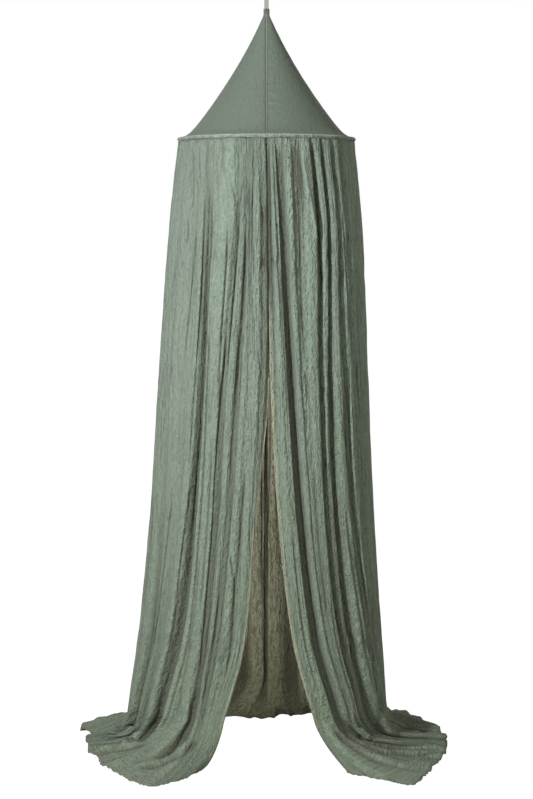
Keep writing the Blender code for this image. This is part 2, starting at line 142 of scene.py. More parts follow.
strip = bpy.data.lights.new("inside_strip", "AREA")
strip.shape = "RECTANGLE"
strip.size, strip.size_y = INSIDE_WIDTH, INSIDE_LENGTH
strip.energy, strip.color = INSIDE_POWER, INSIDE_TINT
side = math.radians(INSIDE_TURN)
strip_place = (INSIDE_X, INSIDE_Y, INSIDE_HEIGHT - HOOK_HEIGHT)
inside = shining(strip, (math.sin(side), -math.cos(side), 0.0), strip_place)
inside.visible_camera = False

world = bpy.data.worlds.new("studio")
bpy.context.scene.world = world
world.use_nodes = True
world_nodes, world_links = world.node_tree.nodes, world.node_tree.links
world_nodes.clear()
seen = world_nodes.new("ShaderNodeBackground")
seen.inputs["Color"].default_value = (1.0, 1.0, 1.0, 1.0)
felt = world_nodes.new("ShaderNodeBackground")
felt.inputs["Color"].default_value = (*AROUND, 1.0)
path = world_nodes.new("ShaderNodeLightPath")
choose = world_nodes.new("ShaderNodeMixShader")
sky = world_nodes.new("ShaderNodeOutputWorld")
world_links.new(path.outputs["Is Camera Ray"], choose.inputs[0])
world_links.new(felt.outputs[0], choose.inputs[1])
world_links.new(seen.outputs[0], choose.inputs[2])
world_links.new(choose.outputs[0], sky.inputs["Surface"])

floor_form = bmesh.new()
bmesh.ops.create_grid(floor_form, x_segments=1, y_segments=1, size=FLOOR_REACH)
bmesh.ops.translate(floor_form, verts=floor_form.verts, vec=(0.0, 0.0, -HOOK_HEIGHT))
floor_mesh = bpy.data.meshes.new("studio_floor")
floor_form.to_mesh(floor_mesh)
floor_form.free()
floor = bpy.data.objects.new("studio_floor", floor_mesh)
bpy.context.scene.collection.objects.link(floor)
print("studio: a key light,", len(FILLS), "fills, a strip light inside and a pale floor")

# %% [markdown]
# ## Writing a finish
#
# A finish is a small sum over the surface: where it is crinkled, how deep the groove is, where the
# hem runs. Python can write such sums directly if a socket knows how to be added and multiplied,
# so `Level` wraps a socket and each operator adds one Math node. Every other node comes from
# `Finish.node`, which sets the node's own settings first and then its sockets.

# %% Shader helpers
class Level:
    """A number that varies over a surface, for use in ordinary sums."""

    def __init__(self, finish, socket):
        self.finish, self.socket = finish, socket

    def made(self, operation, *terms):
        settings = {"operation": operation}
        node = self.finish.node("ShaderNodeMath", settings, dict(enumerate(terms)))
        return Level(self.finish, node.outputs[0])

    def __add__(self, other):
        return self.made("ADD", self, other)

    def __sub__(self, other):
        return self.made("SUBTRACT", self, other)

    def __rsub__(self, other):
        return self.made("SUBTRACT", other, self)

    def __mul__(self, other):
        return self.made("MULTIPLY", self, other)

    def wave(self, pitch):
        """A sine wave along this number, one cycle for each pitch."""
        turned = self * (2.0 * math.pi / pitch)
        return turned.made("SINE", turned)

    __radd__ = __add__
    __rmul__ = __mul__


class Finish:
    """One material, made node by node."""

    def __init__(self, name):
        self.material = bpy.data.materials.new(name)
        self.material.use_nodes = True
        self.tree = self.material.node_tree
        self.tree.nodes.clear()

    def node(self, kind, settings, sockets):
        made = self.tree.nodes.new(kind)
        for key, value in settings.items():
            setattr(made, key, value)
        for key, value in sockets.items():
            if isinstance(value, Level):
                value = value.socket
            if isinstance(value, bpy.types.NodeSocket):
                self.tree.links.new(value, made.inputs[key])
            else:
                made.inputs[key].default_value = value
        return made

    def level(self, kind, settings, sockets, output=0):
        return Level(self, self.node(kind, settings, sockets).outputs[output])

    def clamped(self, amount, low, high):
        """0 below low and 1 above high, with a soft step between."""
        return self.level(
            "ShaderNodeMapRange",
            {"interpolation_type": "SMOOTHSTEP"},
            {"Value": amount, "From Min": low, "From Max": high},
        )

    def blend(self, amount, first, second, kind="MIX"):
        """A mix of two colours; each is a colour or a socket."""
        settings = {"data_type": "RGBA", "blend_type": kind}
        both = {0: amount, 6: first, 7: second}
        both = {k: (*v, 1.0) if isinstance(v, tuple) else v for k, v in both.items()}
        return self.node("ShaderNodeMix", settings, both).outputs[2]

    def end(self, shader):
        self.node("ShaderNodeOutputMaterial", {}, {"Surface": shader})
        return self.material

    def bumped(self, height):
        bump = {"Height": height, "Distance": 1.0, "Strength": 1.0}
        return self.node("ShaderNodeBump", {}, bump).outputs[0]

    def matt(self, sockets):
        return self.node("ShaderNodeBsdfPrincipled", {}, sockets).outputs[0]

    def cloth(self):
        """The cloth's own coordinates: both together, then metres across it and down it."""
        both = self.node("ShaderNodeUVMap", {"uv_map": "cloth"}, {}).outputs[0]
        parts = self.node("ShaderNodeSeparateXYZ", {}, {"Vector": both}).outputs
        return both, Level(self, parts[0]), Level(self, parts[1])


print("shader helpers ready")

# %% [markdown]
# ## Muslin
#
# Two layers of thin cotton gauze shrink together when they are washed, so the cloth is covered in
# small crinkles that run mostly along the warp, from top to bottom. The dye is even, but the
# crinkles and the open weave make it look lighter on their crests and darker in between; that light
# and shade is painted into the colour, as painted light on the crests and painted shade between
# them. At an arm's length the threads themselves show. The pattern follows the cloth's own UV map,
# in metres, because a pattern in space would not fan out with the folds and turn over onto the
# floor.
#
# Some light passes through gauze. A Translucent shader mixed in lets the inside of the canopy glow
# a little, as it does in the photograph.

# %% Muslin finish
THREAD = 0.0011  # metres from one thread to the next
STITCH = 0.0035
HEM_WIDTH = 0.011  # the turned hem, seen as a band along an edge
LETS_THROUGH = 0.22
THROUGH_TONE = 0.40  # one even colour for the light that passes, between the crests' and the rest
ON_FLOOR = (1.82, 2.02)  # metres down the cloth: the long crinkle gives way to an even one
LYING_CALM = 0.85  # and this share of the long crinkle is gone
PAINTED_FALLOFF = (0.2, 2.3)  # metres down the cloth over which painted shade makes it darker and more olive
PAINTED_FALLOFF_TINT = (0.83, 0.825, 0.75)
CRESTS, CRESTS_INSIDE = (0.34, 0.60), (0.42, 0.56)  # the noise that is all painted shade between crests, and all painted light of a crest
PATCHY = (0.42, 0.55)  # the noise where there are no fine lines, and where there are
LINE_WIDTH = 0.020
GROOVE_SHADE, GROOVE_SHADE_INSIDE = 0.85, 0.95
HEM_SHADE = 0.8
WEAVE_SHADE = 0.06
WEAVE_HEIGHT, STITCH_HEIGHT = 0.00005, 0.0002  # metres

# Each noise: how often it varies in a metre across the cloth and down it, its detail, its shift,
# its share in the colour and its height in metres.
Noise = namedtuple("Noise", "across down detail shift share height")
BROAD = Noise(42.0, 8.0, 2.0, 15.0, 0.12, 0.0080)
LONG = Noise(110.0, 38.0, 3.0, 3.1, 0.45, 0.0160)
SMALL = Noise(240.0, 110.0, 2.0, 7.7, 0.43, 0.0100)
CREPE = Noise(130.0, 120.0, 3.0, 9.4, 0.45, 0.0110)
GRAIN = Noise(620.0, 520.0, 1.0, 1.3, 0.35, 0.0005)
DYE = Noise(5.0, 1.8, 2.0, 11.0, 0.3, 0.0)
LINES = Noise(30.0, 1.3, 2.0, 21.0, 0.3, 0.0028)
PATCHES = Noise(9.0, 2.6, 2.0, 17.0, 0.0, 0.0)


def muslin(name, light, dark, deep, hem, crinkle=1.0, even=0.0, inside=False):
    """Crinkled double gauze: painted light on crests, painted shade between them, a turned hem.

    Where it is even the crinkle has no direction, as on the floor or on the stretched roof.
    """
    finish = Finish(name)
    cloth, across, along = finish.cloth()
    # painted shade: this attribute darkens grooves, creases and seams toward the deep colour
    sunk = "ridge" if inside else "groove"
    groove = finish.level("ShaderNodeAttribute", {"attribute_name": sunk}, {}, 2)
    edge = finish.level("ShaderNodeAttribute", {"attribute_name": "hem"}, {}, 2)

    def rough(kind):
        stretched = finish.node("ShaderNodeMapping", {}, {
            "Vector": cloth,
            "Scale": (kind.across, kind.down, 1.0),
            "Location": (kind.shift, kind.shift, kind.shift),
        }).outputs[0]
        sockets = {"Vector": stretched, "Scale": 1.0, "Detail": kind.detail, "Roughness": 0.55}
        return finish.level("ShaderNodeTexNoise", {}, sockets)

    lying = finish.clamped(along, *ON_FLOOR)
    lying = lying.made("MAXIMUM", lying, even)
    hanging = 1.0 - lying * LYING_CALM
    broad, long = rough(BROAD) * hanging, rough(LONG) * hanging
    small, crepe, grain = rough(SMALL), rough(CREPE) * lying, rough(GRAIN)
    wander = rough(LINES) - 0.5
    where = finish.clamped(rough(PATCHES), *PATCHY) * crinkle
    lines = (1.0 - finish.clamped(wander.made("ABSOLUTE", wander), 0.0, LINE_WIDTH)) * where
    weave = across.wave(THREAD) * along.wave(THREAD)
    stitch = finish.clamped(along.wave(2.0 * STITCH), 0.0, 0.5)

    # painted light on the crinkles' crests and painted shade between them
    crests = broad * BROAD.share + long * LONG.share + small * SMALL.share + crepe * CREPE.share
    crests = finish.clamped(crests, *(CRESTS_INSIDE if inside else CRESTS))
    colour = finish.blend(crests * 0.55 + grain * GRAIN.share + 0.05, dark, light)
    colour = finish.blend((rough(DYE) - 0.4) * DYE.share, colour, dark)
    # painted shade: darker and more olive down the cloth, where the key light falls off
    colour = finish.blend(finish.clamped(along, *PAINTED_FALLOFF), colour, PAINTED_FALLOFF_TINT, "MULTIPLY")
    colour = finish.blend(groove * (GROOVE_SHADE_INSIDE if inside else GROOVE_SHADE), colour, deep)
    # painted shade along the wandering pressed lines
    colour = finish.blend(lines * LINES.share, colour, deep)
    # on the curtain the hem colour is a painted highlight along the doorway; olive on the floor
    colour = finish.blend(edge * HEM_SHADE, colour, finish.blend(lying, hem, HEM_OLIVE))
    colour = finish.blend(weave * WEAVE_SHADE + 0.5 * WEAVE_SHADE, colour, dark)

    crinkles = (
        broad * BROAD.height + long * LONG.height + small * SMALL.height + crepe * CREPE.height
    )
    threads = grain * GRAIN.height + weave * WEAVE_HEIGHT + stitch * edge * STITCH_HEIGHT
    bump = finish.bumped(crinkles * crinkle + threads - lines * LINES.height)
    shown = finish.matt({
        "Base Color": colour,
        "Roughness": 0.92,
        "Specular IOR Level": 0.15,
        "Sheen Weight": 0.12,
        "Sheen Roughness": 0.5,
        "Normal": bump,
    })
    through = tuple(THROUGH_TONE * (crest + rest) for crest, rest in zip(light, dark))
    glow = finish.node(
        "ShaderNodeBsdfTranslucent", {}, {"Color": (*through, 1.0), "Normal": bump}
    ).outputs[0]
    mixed = finish.node("ShaderNodeMixShader", {}, {0: LETS_THROUGH, 1: shown, 2: glow})
    return finish.end(mixed.outputs[0])


# The curtain's colours: painted light on crests, painted shade between them and in grooves
SAGE = (0.292, 0.376, 0.306)
SAGE_BETWEEN = (0.160, 0.200, 0.158)
SAGE_DEEP = (0.085, 0.090, 0.064)
# The inner face: a warmer, browner copy of the curtain's colours, as painted shade inside
SHADED_INSIDE = (0.41, 0.41, 0.335)
SHADED_INSIDE_BETWEEN = (0.13, 0.125, 0.090)
SHADED_INSIDE_DEEP = (0.060, 0.056, 0.040)
# The roof's colours: the curtain's, darkened as painted shade for the sloping cone
SHADED_ROOF = (0.165, 0.213, 0.176)
SHADED_ROOF_BETWEEN = (0.118, 0.150, 0.120)
# The casing: lighter than the curtain, partly the doubled cloth, partly painted highlight
LIT_CASING = (0.52, 0.62, 0.54)
# painted highlight on the doorway's hem, where the light catches its fold
HEM_HIGHLIGHT = (0.35, 0.37, 0.27)
HEM_OLIVE = (0.15, 0.155, 0.10)

curtain_muslin = muslin("curtain_muslin", SAGE, SAGE_BETWEEN, SAGE_DEEP, HEM_HIGHLIGHT)
back_muslin = muslin("back_curtain_muslin", SAGE, SAGE_BETWEEN, SAGE_DEEP, HEM_OLIVE)
shaded_inner_muslin = muslin(
    "shaded_inner_muslin", SHADED_INSIDE, SHADED_INSIDE_BETWEEN, SHADED_INSIDE_DEEP, HEM_HIGHLIGHT, inside=True
)
shaded_roof_muslin = muslin(
    "shaded_roof_muslin", SHADED_ROOF, SHADED_ROOF_BETWEEN, SAGE_DEEP, HEM_OLIVE, crinkle=0.18, even=0.85
)
lit_casing_muslin = muslin("lit_casing_muslin", LIT_CASING, SAGE, SAGE_DEEP, HEM_OLIVE, crinkle=0.5)
print("muslin finishes: curtain, its inner side, back curtain, roof and casing")

# %% [markdown]
# ## The tape, the rod and the floor
#
# The tape is a narrow twill ribbon: its fine diagonal ribs are a wave along both of its
# directions. The rod inside the casing is white and smooth, with the faint unevenness of an
# extruded plastic coat. The studio floor is matt, and glows just enough to match the backdrop.

# %% Other finishes
RIB = 0.0014
RIB_HEIGHT, FUZZ_HEIGHT, COAT_HEIGHT = 0.00012, 0.0001, 0.0004  # metres
TAPE_TONE, TAPE_SHADE = (0.27, 0.28, 0.25), (0.17, 0.18, 0.155)
ROD_TONE, ROD_SHADE = (0.72, 0.72, 0.70), (0.62, 0.62, 0.58)


def twill():
    finish = Finish("tape_twill")
    cloth, across, along = finish.cloth()
    ribs = (across + along).wave(RIB) * 0.5 + 0.5
    fuzz = finish.level("ShaderNodeTexNoise", {}, {"Vector": cloth, "Scale": 900.0, "Detail": 2.0})
    return finish.end(finish.matt({
        "Base Color": finish.blend(ribs * 0.6 + fuzz * 0.4, TAPE_SHADE, TAPE_TONE),
        "Roughness": 0.85,
        "Normal": finish.bumped(ribs * RIB_HEIGHT + fuzz * FUZZ_HEIGHT),
    }))


def coated_rod():
    finish = Finish("white_coated_rod")
    place = finish.node("ShaderNodeTexCoord", {}, {}).outputs["Object"]
    uneven = finish.level("ShaderNodeTexNoise", {}, {"Vector": place, "Scale": 60.0, "Detail": 3.0})
    return finish.end(finish.matt({
        "Base Color": finish.blend(uneven, ROD_SHADE, ROD_TONE),
        "Roughness": uneven * 0.2 + 0.3,
        "Normal": finish.bumped(uneven * COAT_HEIGHT),
    }))


def studio_floor():
    finish = Finish("studio_floor")
    shown = finish.matt({
        "Base Color": FLOOR_TONE,
        "Roughness": 0.95,
        "Specular IOR Level": 0.0,
        "Emission Color": (1.0, 1.0, 1.0, 1.0),
        "Emission Strength": FLOOR_GLOW,
    })
    bounce = finish.node("ShaderNodeBsdfDiffuse", {}, {"Color": FLOOR_BOUNCE}).outputs[0]
    ray = finish.node("ShaderNodeLightPath", {}, {}).outputs["Is Camera Ray"]
    mixed = finish.node("ShaderNodeMixShader", {}, {0: ray, 1: bounce, 2: shown})
    return finish.end(mixed.outputs[0])


floor.data.materials.append(studio_floor())
tape_twill = twill()
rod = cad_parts["hoop"]
rod.data.materials.clear()
rod.data.materials.append(coated_rod())
print("finishes: tape, rod and floor")

# %% [markdown]
# ## Sizes shared with the frame
#
# The CAD solids were lofted from tables of ridge and groove lines. The finer sheets use the same
# tables, because then they lie where the solids are from every side. Each row is one ridge or
# groove from top to bottom. Its bearing is in degrees round the hoop from the middle of the
# doorway, its depth in millimetres in from the outline, its lift in millimetres above the floor,
# and its place is where it meets the hem.

# %% Shared sizes
APEX_HEIGHT = 2.492
HOOP_HEIGHT = 2.058
HOOP_RADIUS = 0.292
SEAM_GAP = 0.0003
CASING_INSIDE = 0.0052
CASING_CLOTH = 0.0014
CASING_OUTSIDE = CASING_INSIDE + CASING_CLOTH
CASING_SLIT = 50.0  # degrees
CURTAIN_TOP = HOOP_HEIGHT - CASING_OUTSIDE - SEAM_GAP

HEIGHTS = (CURTAIN_TOP, 1.78, 1.28, 0.825, 0.42, 0.155)
LEFT_HALF = (0.296, 0.326, 0.364, 0.393, 0.433, 0.472)
RIGHT_HALF = (0.296, 0.322, 0.344, 0.364, 0.390, 0.409)
FRONT_DEPTH = (0.296, 0.308, 0.320, 0.328, 0.336, 0.345)
BACK_DEPTH = (0.296, 0.310, 0.326, 0.336, 0.342, 0.346)
GATHER_REACH = 0.050
SEWN_DEPTH = 0.55
FOOT_DROP = 0.085
FOOT_LEAN = 0.22
LAID_HEIGHT = 0.0030

Fold = namedtuple("Fold", "name bearing depth lift place")

LEFT_FOLDS = tuple(Fold(*row) for row in (
    ("turned edge", (-0.9, -1.6, -1.8, 4.9, 9.2, 17.3), (20, 27, 27, 14, 9, 6), 2, 0.00),
    ("door edge", (1.6, 0.8, 1.2, 6.0, 9.7, 17.6), (8, 14, 12, 8, 5, 3), 2, 0.012),
    ("door ridge", (5.0, 5.4, 5.2, 9.0, 12.3, 20.5), (2, 0, 0, 0, 0, 0), 6, 0.07),
    ("door crease", (8.0, 7.8, 8.6, 12.0, 15.8, 22.8), (4, 6, 5, 9, 10, 6), 3, 0.12),
    ("second ridge", (9.6, 9.1, 11.1, 15.2, 19.3, 25.0), (1, 1, 0, 0, 0, 0), 6, 0.17),
    ("second crease", (11.4, 10.8, 14.7, 18.7, 22.8, 27.0), (4, 9, 12, 12, 12, 8), 3, 0.22),
    ("third ridge", (13.9, 13.4, 18.6, 21.7, 25.4, 28.8), (0, 0, 1, 0, 2, 2), 7, 0.27),
    ("third crease", (17.0, 16.0, 22.6, 24.9, 28.3, 31.2), (3, 9, 11, 14, 17, 22), 1, 0.36),
    ("broad face near", (21.8, 20.5, 26.0, 28.0, 31.5, 35.2), (0, 0, 0, 1, 2, 2), 12, 0.44),
    ("broad face", (27.4, 25.2, 29.4, 31.2, 34.5, 39.0), (1, 0, 0, 0, 0, 0), 14, 0.56),
    ("broad face far", (32.4, 30.4, 32.4, 34.4, 37.8, 44.0), (1, 1, 3, 4, 3, 0), 12, 0.68),
    ("deep fold", (37.4, 35.7, 35.9, 38.6, 43.2, 50.9), (2, 10, 22, 28, 32, 30), 1, 0.79),
    ("side face", (42.7, 40.7, 40.8, 44.0, 50.0, 57.0), (0, 0, 0, 0, 0, 2), 16, 0.83),
    ("side crease", (50.0, 46.5, 47.9, 50.4, 54.6, 61.0), (3, 5, 5, 6, 7, 9), 8, 0.86),
    ("outer face", (57.4, 54.6, 57.0, 56.6, 58.6, 64.2), (0, 0, 0, 0, 0, 0), 15, 0.89),
    ("outer crease", (65.3, 62.7, 65.9, 62.4, 62.2, 67.6), (3, 3, 4, 9, 17, 22), 4, 0.92),
    ("outline ridge", (75.0, 74.0, 75.0, 72.0, 71.0, 75.0), (0, 0, 0, 0, 0, 0), 18, 0.95),
    ("outline crease", (84.0, 84.0, 83.0, 81.0, 81.0, 84.0), (5, 7, 8, 8, 9, 9), 8, 0.97),
    ("side ridge", (92.0, 92.0, 92.0, 91.0, 92.0, 94.0), (0, 0, 0, 0, 0, 0), 16, 0.985),
    ("side seam", (100.0, 100.0, 100.0, 101.0, 102.0, 104.0), (5, 8, 9, 10, 11, 12), 12, 1.00),
))

RIGHT_FOLDS = tuple(Fold(*row) for row in (
    ("door edge", (0.3, 1.0, 2.1, 6.0, 12.8, 22.5), (8, 22, 16, 8, 5, 3), 2, 0.00),
    ("door ridge", (2.6, 4.3, 8.0, 11.4, 17.2, 26.1), (1, 0, 0, 0, 0, 0), 7, 0.12),
    ("door face", (4.0, 6.0, 9.6, 13.6, 20.0, 30.0), (4, 7, 3, 2, 1, 0), 9, 0.36),
    ("deep pleat", (6.0, 9.1, 13.6, 18.6, 25.3, 36.4), (8, 24, 30, 32, 32, 24), 1, 0.74),
    ("second face", (11.5, 13.4, 17.2, 22.4, 29.6, 40.6), (0, 0, 0, 0, 0, 0), 20, 0.78),
    ("soft pleat", (19.2, 19.7, 21.1, 25.2, 32.0, 43.2), (11, 13, 8, 4, 3, 4), 14, 0.80),
    ("third face", (23.9, 26.2, 26.8, 28.8, 34.7, 45.9), (0, 0, 0, 0, 0, 0), 20, 0.82),
    ("fourth pleat", (29.6, 32.7, 32.2, 33.6, 39.6, 50.2), (12, 24, 24, 24, 28, 26), 10, 0.84),
    ("sunk ridge", (33.0, 36.3, 35.4, 37.0, 43.2, 53.2), (0, 4, 11, 13, 15, 16), 14, 0.855),
    ("fifth pleat", (36.5, 39.8, 38.8, 40.7, 47.2, 56.9), (11, 26, 30, 34, 38, 34), 8, 0.87),
    ("fifth face", (40.6, 43.2, 44.2, 46.5, 54.1, 65.0), (0, 0, 0, 0, 0, 0), 20, 0.89),
    ("sixth pleat", (45.1, 47.2, 49.4, 51.8, 60.8, 71.5), (10, 22, 22, 22, 22, 17), 8, 0.905),
    ("sixth face", (49.4, 50.8, 53.6, 57.0, 64.6, 75.5), (0, 0, 0, 0, 0, 0), 17, 0.92),
    ("seventh pleat", (53.8, 54.6, 58.1, 62.6, 68.6, 79.0), (9, 15, 15, 16, 14, 11), 8, 0.935),
    ("seventh face", (59.9, 60.2, 62.9, 67.6, 73.0, 82.5), (0, 0, 0, 0, 0, 0), 16, 0.95),
    ("eighth pleat", (66.9, 67.3, 69.2, 73.6, 78.0, 86.0), (7, 9, 9, 9, 9, 8), 8, 0.96),
    ("outline ridge", (77.0, 77.0, 78.0, 81.0, 84.0, 90.5), (0, 0, 0, 0, 0, 0), 18, 0.97),
    ("outline crease", (85.0, 85.0, 86.0, 88.0, 90.0, 95.0), (6, 9, 10, 10, 10, 9), 9, 0.98),
    ("side ridge", (93.0, 93.0, 93.0, 94.0, 95.0, 99.0), (0, 0, 0, 0, 0, 0), 17, 0.99),
    ("side seam", (100.0, 100.0, 100.0, 101.0, 102.0, 104.0), (6, 9, 10, 11, 12, 12), 12, 1.00),
))

BACK_FOLDS = 13
BACK_DRIFT = 2.6  # degrees
BACK_DEPTH_RANGE = (9.0, 19.0)  # millimetres
BACK_LIFT_RANGE = (5.0, 62.0)  # millimetres

Laid = namedtuple("Laid", "place foot_x foot_y hem_x hem_y")

LEFT_LAID = tuple(Laid(*row) for row in (
    (0.00, -0.192, -0.345, -0.210, -0.362), (0.10, -0.225, -0.385, -0.258, -0.472),
    (0.25, -0.290, -0.425, -0.366, -0.572), (0.33, -0.325, -0.370, -0.426, -0.512),
    (0.41, -0.355, -0.305, -0.470, -0.438), (0.53, -0.395, -0.225, -0.536, -0.340),
    (0.65, -0.420, -0.150, -0.561, -0.223), (0.74, -0.435, -0.100, -0.598, -0.150),
    (0.85, -0.450, -0.040, -0.605, -0.050), (0.93, -0.470, 0.020, -0.620, 0.020),
    (1.00, -0.481, 0.110, -0.596, 0.090),
))

RIGHT_LAID = tuple(Laid(*row) for row in (
    (0.00, 0.262, -0.350, 0.260, -0.408), (0.18, 0.310, -0.415, 0.392, -0.516),
    (0.26, 0.330, -0.425, 0.460, -0.562), (0.36, 0.345, -0.360, 0.506, -0.462),
    (0.52, 0.360, -0.270, 0.558, -0.300), (0.65, 0.380, -0.190, 0.594, -0.188),
    (0.77, 0.400, -0.120, 0.612, -0.080), (0.85, 0.409, -0.070, 0.617, -0.005),
    (0.92, 0.430, 0.000, 0.619, 0.060), (1.00, 0.440, 0.110, 0.612, 0.125),
))

BACK_LAID = tuple(Laid(*row) for row in (
    (0.00, -0.481, 0.110, -0.596, 0.090), (0.07, -0.475, 0.155, -0.652, 0.160),
    (0.15, -0.455, 0.220, -0.634, 0.265), (0.25, -0.420, 0.300, -0.560, 0.400),
    (0.37, -0.280, 0.300, -0.400, 0.475), (0.45, -0.150, 0.300, -0.190, 0.390),
    (0.515, 0.000, 0.295, -0.020, 0.350), (0.545, 0.050, 0.300, 0.045, 0.385),
    (0.60, 0.140, 0.300, 0.165, 0.400), (0.66, 0.250, 0.300, 0.320, 0.470),
    (0.76, 0.360, 0.290, 0.460, 0.460), (0.84, 0.405, 0.240, 0.525, 0.350),
    (0.92, 0.430, 0.175, 0.573, 0.225), (1.00, 0.440, 0.110, 0.612, 0.125),
))
print("tables:", len(LEFT_FOLDS), "left and", len(RIGHT_FOLDS), "right fold lines")

# %% [markdown]
# ## Creases
#
# Between the main folds the cloth carries creases: thin sharp troughs where it was pressed in its
# packet, and narrow ridges beside them. They are short, they wander, and they fade out at both
# ends. Simulated cloth would put creases somewhere, but not where these are, so each one is listed
# as a row: the fold line that it follows at its top and at its foot (2.5 is midway between
# the third and the fourth line), how high it starts and ends, how wide it is and how deep, in
# millimetres. A negative depth is a ridge. A height below zero is a share of the way over the
# floor to the hem.

# %% Crease tables
Crease = namedtuple("Crease", "top foot high low width depth")

LEFT_CREASES = tuple(Crease(*row) for row in (
    (11.5, 11.9, 1.90, 0.95, 4, 6.0), (11.6, 11.7, 1.05, 0.20, 4, 6.0),
    (11.1, 11.4, 1.98, 0.35, 4, 5.0), (10.7, 10.4, 1.95, 0.30, 4, 4.0),
    (8.6, 7.5, 1.80, 1.20, 4, 5.0), (7.1, 6.6, 1.86, 1.25, 4, 5.0), (5.3, 5.1, 1.78, 1.10, 4, 5.0),
    (10.0, 9.6, 1.58, 0.20, 5, 2.0), (12.6, 13.3, 1.78, 1.30, 4, 2.5),
    (15.5, 15.6, 1.22, 0.97, 3, 2.5), (8.3, 7.3, 1.91, 1.83, 4, 2.5),
    (6.1, 7.3, 1.91, 1.83, 4, 2.5), (7.2, 7.4, 1.85, 1.60, 5, 2.0),
    (12.7, 12.4, 2.03, 1.90, 3, 2.0), (13.5, 13.3, 2.03, 1.82, 3, 2.0),
    (13.7, 13.6, 1.80, 1.70, 3, 2.0), (4.7, 4.3, 1.92, 1.60, 4, 3.0),
    (2.6, 2.4, 1.50, 1.32, 3, 2.5), (2.6, 2.1, 1.20, 1.02, 3, 2.5), (1.9, 1.3, 1.38, 1.27, 3, 2.0),
    (2.9, 3.3, 0.98, 0.58, 4, 4.5), (3.4, 2.7, 0.66, 0.28, 4, 5.0), (4.2, 3.2, 0.70, 0.60, 4, 3.0),
    (7.3, 7.6, 1.45, 0.80, 4, 5.0), (7.7, 7.3, 0.90, 0.30, 4, 4.5), (8.4, 8.2, 1.10, 0.45, 6, 1.5),
    (5.5, 5.2, 1.50, 0.90, 4, 2.0), (6.4, 6.2, 0.85, 0.30, 4, 2.5), (5.4, 5.6, 0.60, 0.16, 4, 2.0),
    (14.4, 14.7, 1.60, 0.60, 5, 1.2), (13.6, 14.1, 0.95, 0.30, 5, 2.0),
    (15.4, 15.5, 0.56, -0.2, 6, -2.5), (9.3, 9.0, 0.75, -0.1, 7, 1.5),
    (9.6, 10.2, 0.45, -0.3, 6, 2.5), (11.6, 10.2, 0.24, -0.60, 14, 6.0),
    (7.3, 7.4, 0.26, -0.70, 15, 5.5), (5.0, 7.6, -0.22, -0.86, 7, 4.0),
    (5.6, 8.0, -0.20, -0.90, 8, -3.5), (15.2, 18.2, -0.28, -1.0, 9, 5.5),
    (15.4, 17.8, -0.06, -0.52, 8, 4.0), (17.1, 16.6, 0.92, 0.08, 16, 2.6),
    (14.4, 15.6, -0.30, -1.0, 8, -5.0), (16.6, 18.9, -0.20, -0.95, 7, -4.0),
    (12.1, 10.0, -0.36, -0.78, 8, -5.0), (10.1, 10.5, -0.50, -1.0, 8, -4.0),
    (9.5, 9.8, -0.50, -1.0, 6, 4.0), (13.0, 13.6, -0.10, -0.90, 8, -4.0),
))

RIGHT_CREASES = tuple(Crease(*row) for row in (
    (5.0, 5.2, 1.95, 1.30, 5, 3.0), (5.5, 6.7, 2.04, 1.70, 8, -4.0),
    (6.9, 7.4, 2.04, 1.50, 5, 3.5), (11.5, 11.7, 1.28, 0.40, 4, 5.0),
    (8.1, 8.0, 1.35, 0.90, 4, -3.0), (13.7, 13.8, 1.32, 1.12, 3, 3.0),
    (5.2, 5.2, 1.30, 1.20, 3, 2.5), (4.8, 5.4, 1.30, 1.27, 3, 2.5), (4.5, 4.3, 1.90, 1.50, 5, 1.5),
    (2.3, 2.2, 1.70, 1.10, 5, 1.5), (1.6, 1.7, 0.80, 0.25, 5, 2.0), (4.4, 4.5, 0.90, 0.30, 6, 1.5),
    (5.6, 5.5, 1.00, 0.45, 6, 1.5), (6.4, 6.3, 0.60, 0.16, 5, 2.0),
    (10.4, 10.5, 1.70, 0.90, 5, 1.5), (10.0, 10.2, 0.90, 0.20, 6, 2.0),
    (12.2, 12.4, 1.85, 1.30, 4, 1.5), (12.4, 12.3, 0.90, 0.30, 4, 2.5),
    (14.4, 14.2, 1.60, 0.80, 4, 2.0), (3.4, 2.5, 0.02, -0.52, 7, 4.0),
    (2.5, 2.8, -0.40, -1.0, 6, 6.5), (6.2, 3.3, 0.22, -0.52, 7, -4.5),
    (3.3, 3.3, -0.40, -1.0, 8, -6.0), (2.2, 2.2, -0.50, -1.0, 8, -3.0),
    (11.6, 9.4, 0.24, -0.62, 8, -5.0), (13.8, 18.0, -0.28, -0.80, 8, 6.0),
    (10.4, 16.0, -0.70, -0.90, 6, 4.5), (2.2, 1.9, -0.10, -0.75, 9, 2.0),
    (2.5, 2.4, -0.25, -0.90, 9, 2.0), (15.6, 17.0, -0.35, -0.90, 7, 3.5),
    (11.8, 13.0, -0.50, -0.95, 7, 3.0), (8.5, 9.5, -0.30, -0.95, 7, 3.0),
))
print("creases:", len(LEFT_CREASES), "left and", len(RIGHT_CREASES), "right")

# %% [markdown]
# ## Curves
#
# Between the heights in a table a line must run on smoothly, as cloth does, so the values are
# joined by a smooth curve through them and not by straight pieces.

# %% Curve helpers
def smooth_step(amount):
    amount = np.clip(amount, 0.0, 1.0)
    return amount * amount * (3.0 - 2.0 * amount)


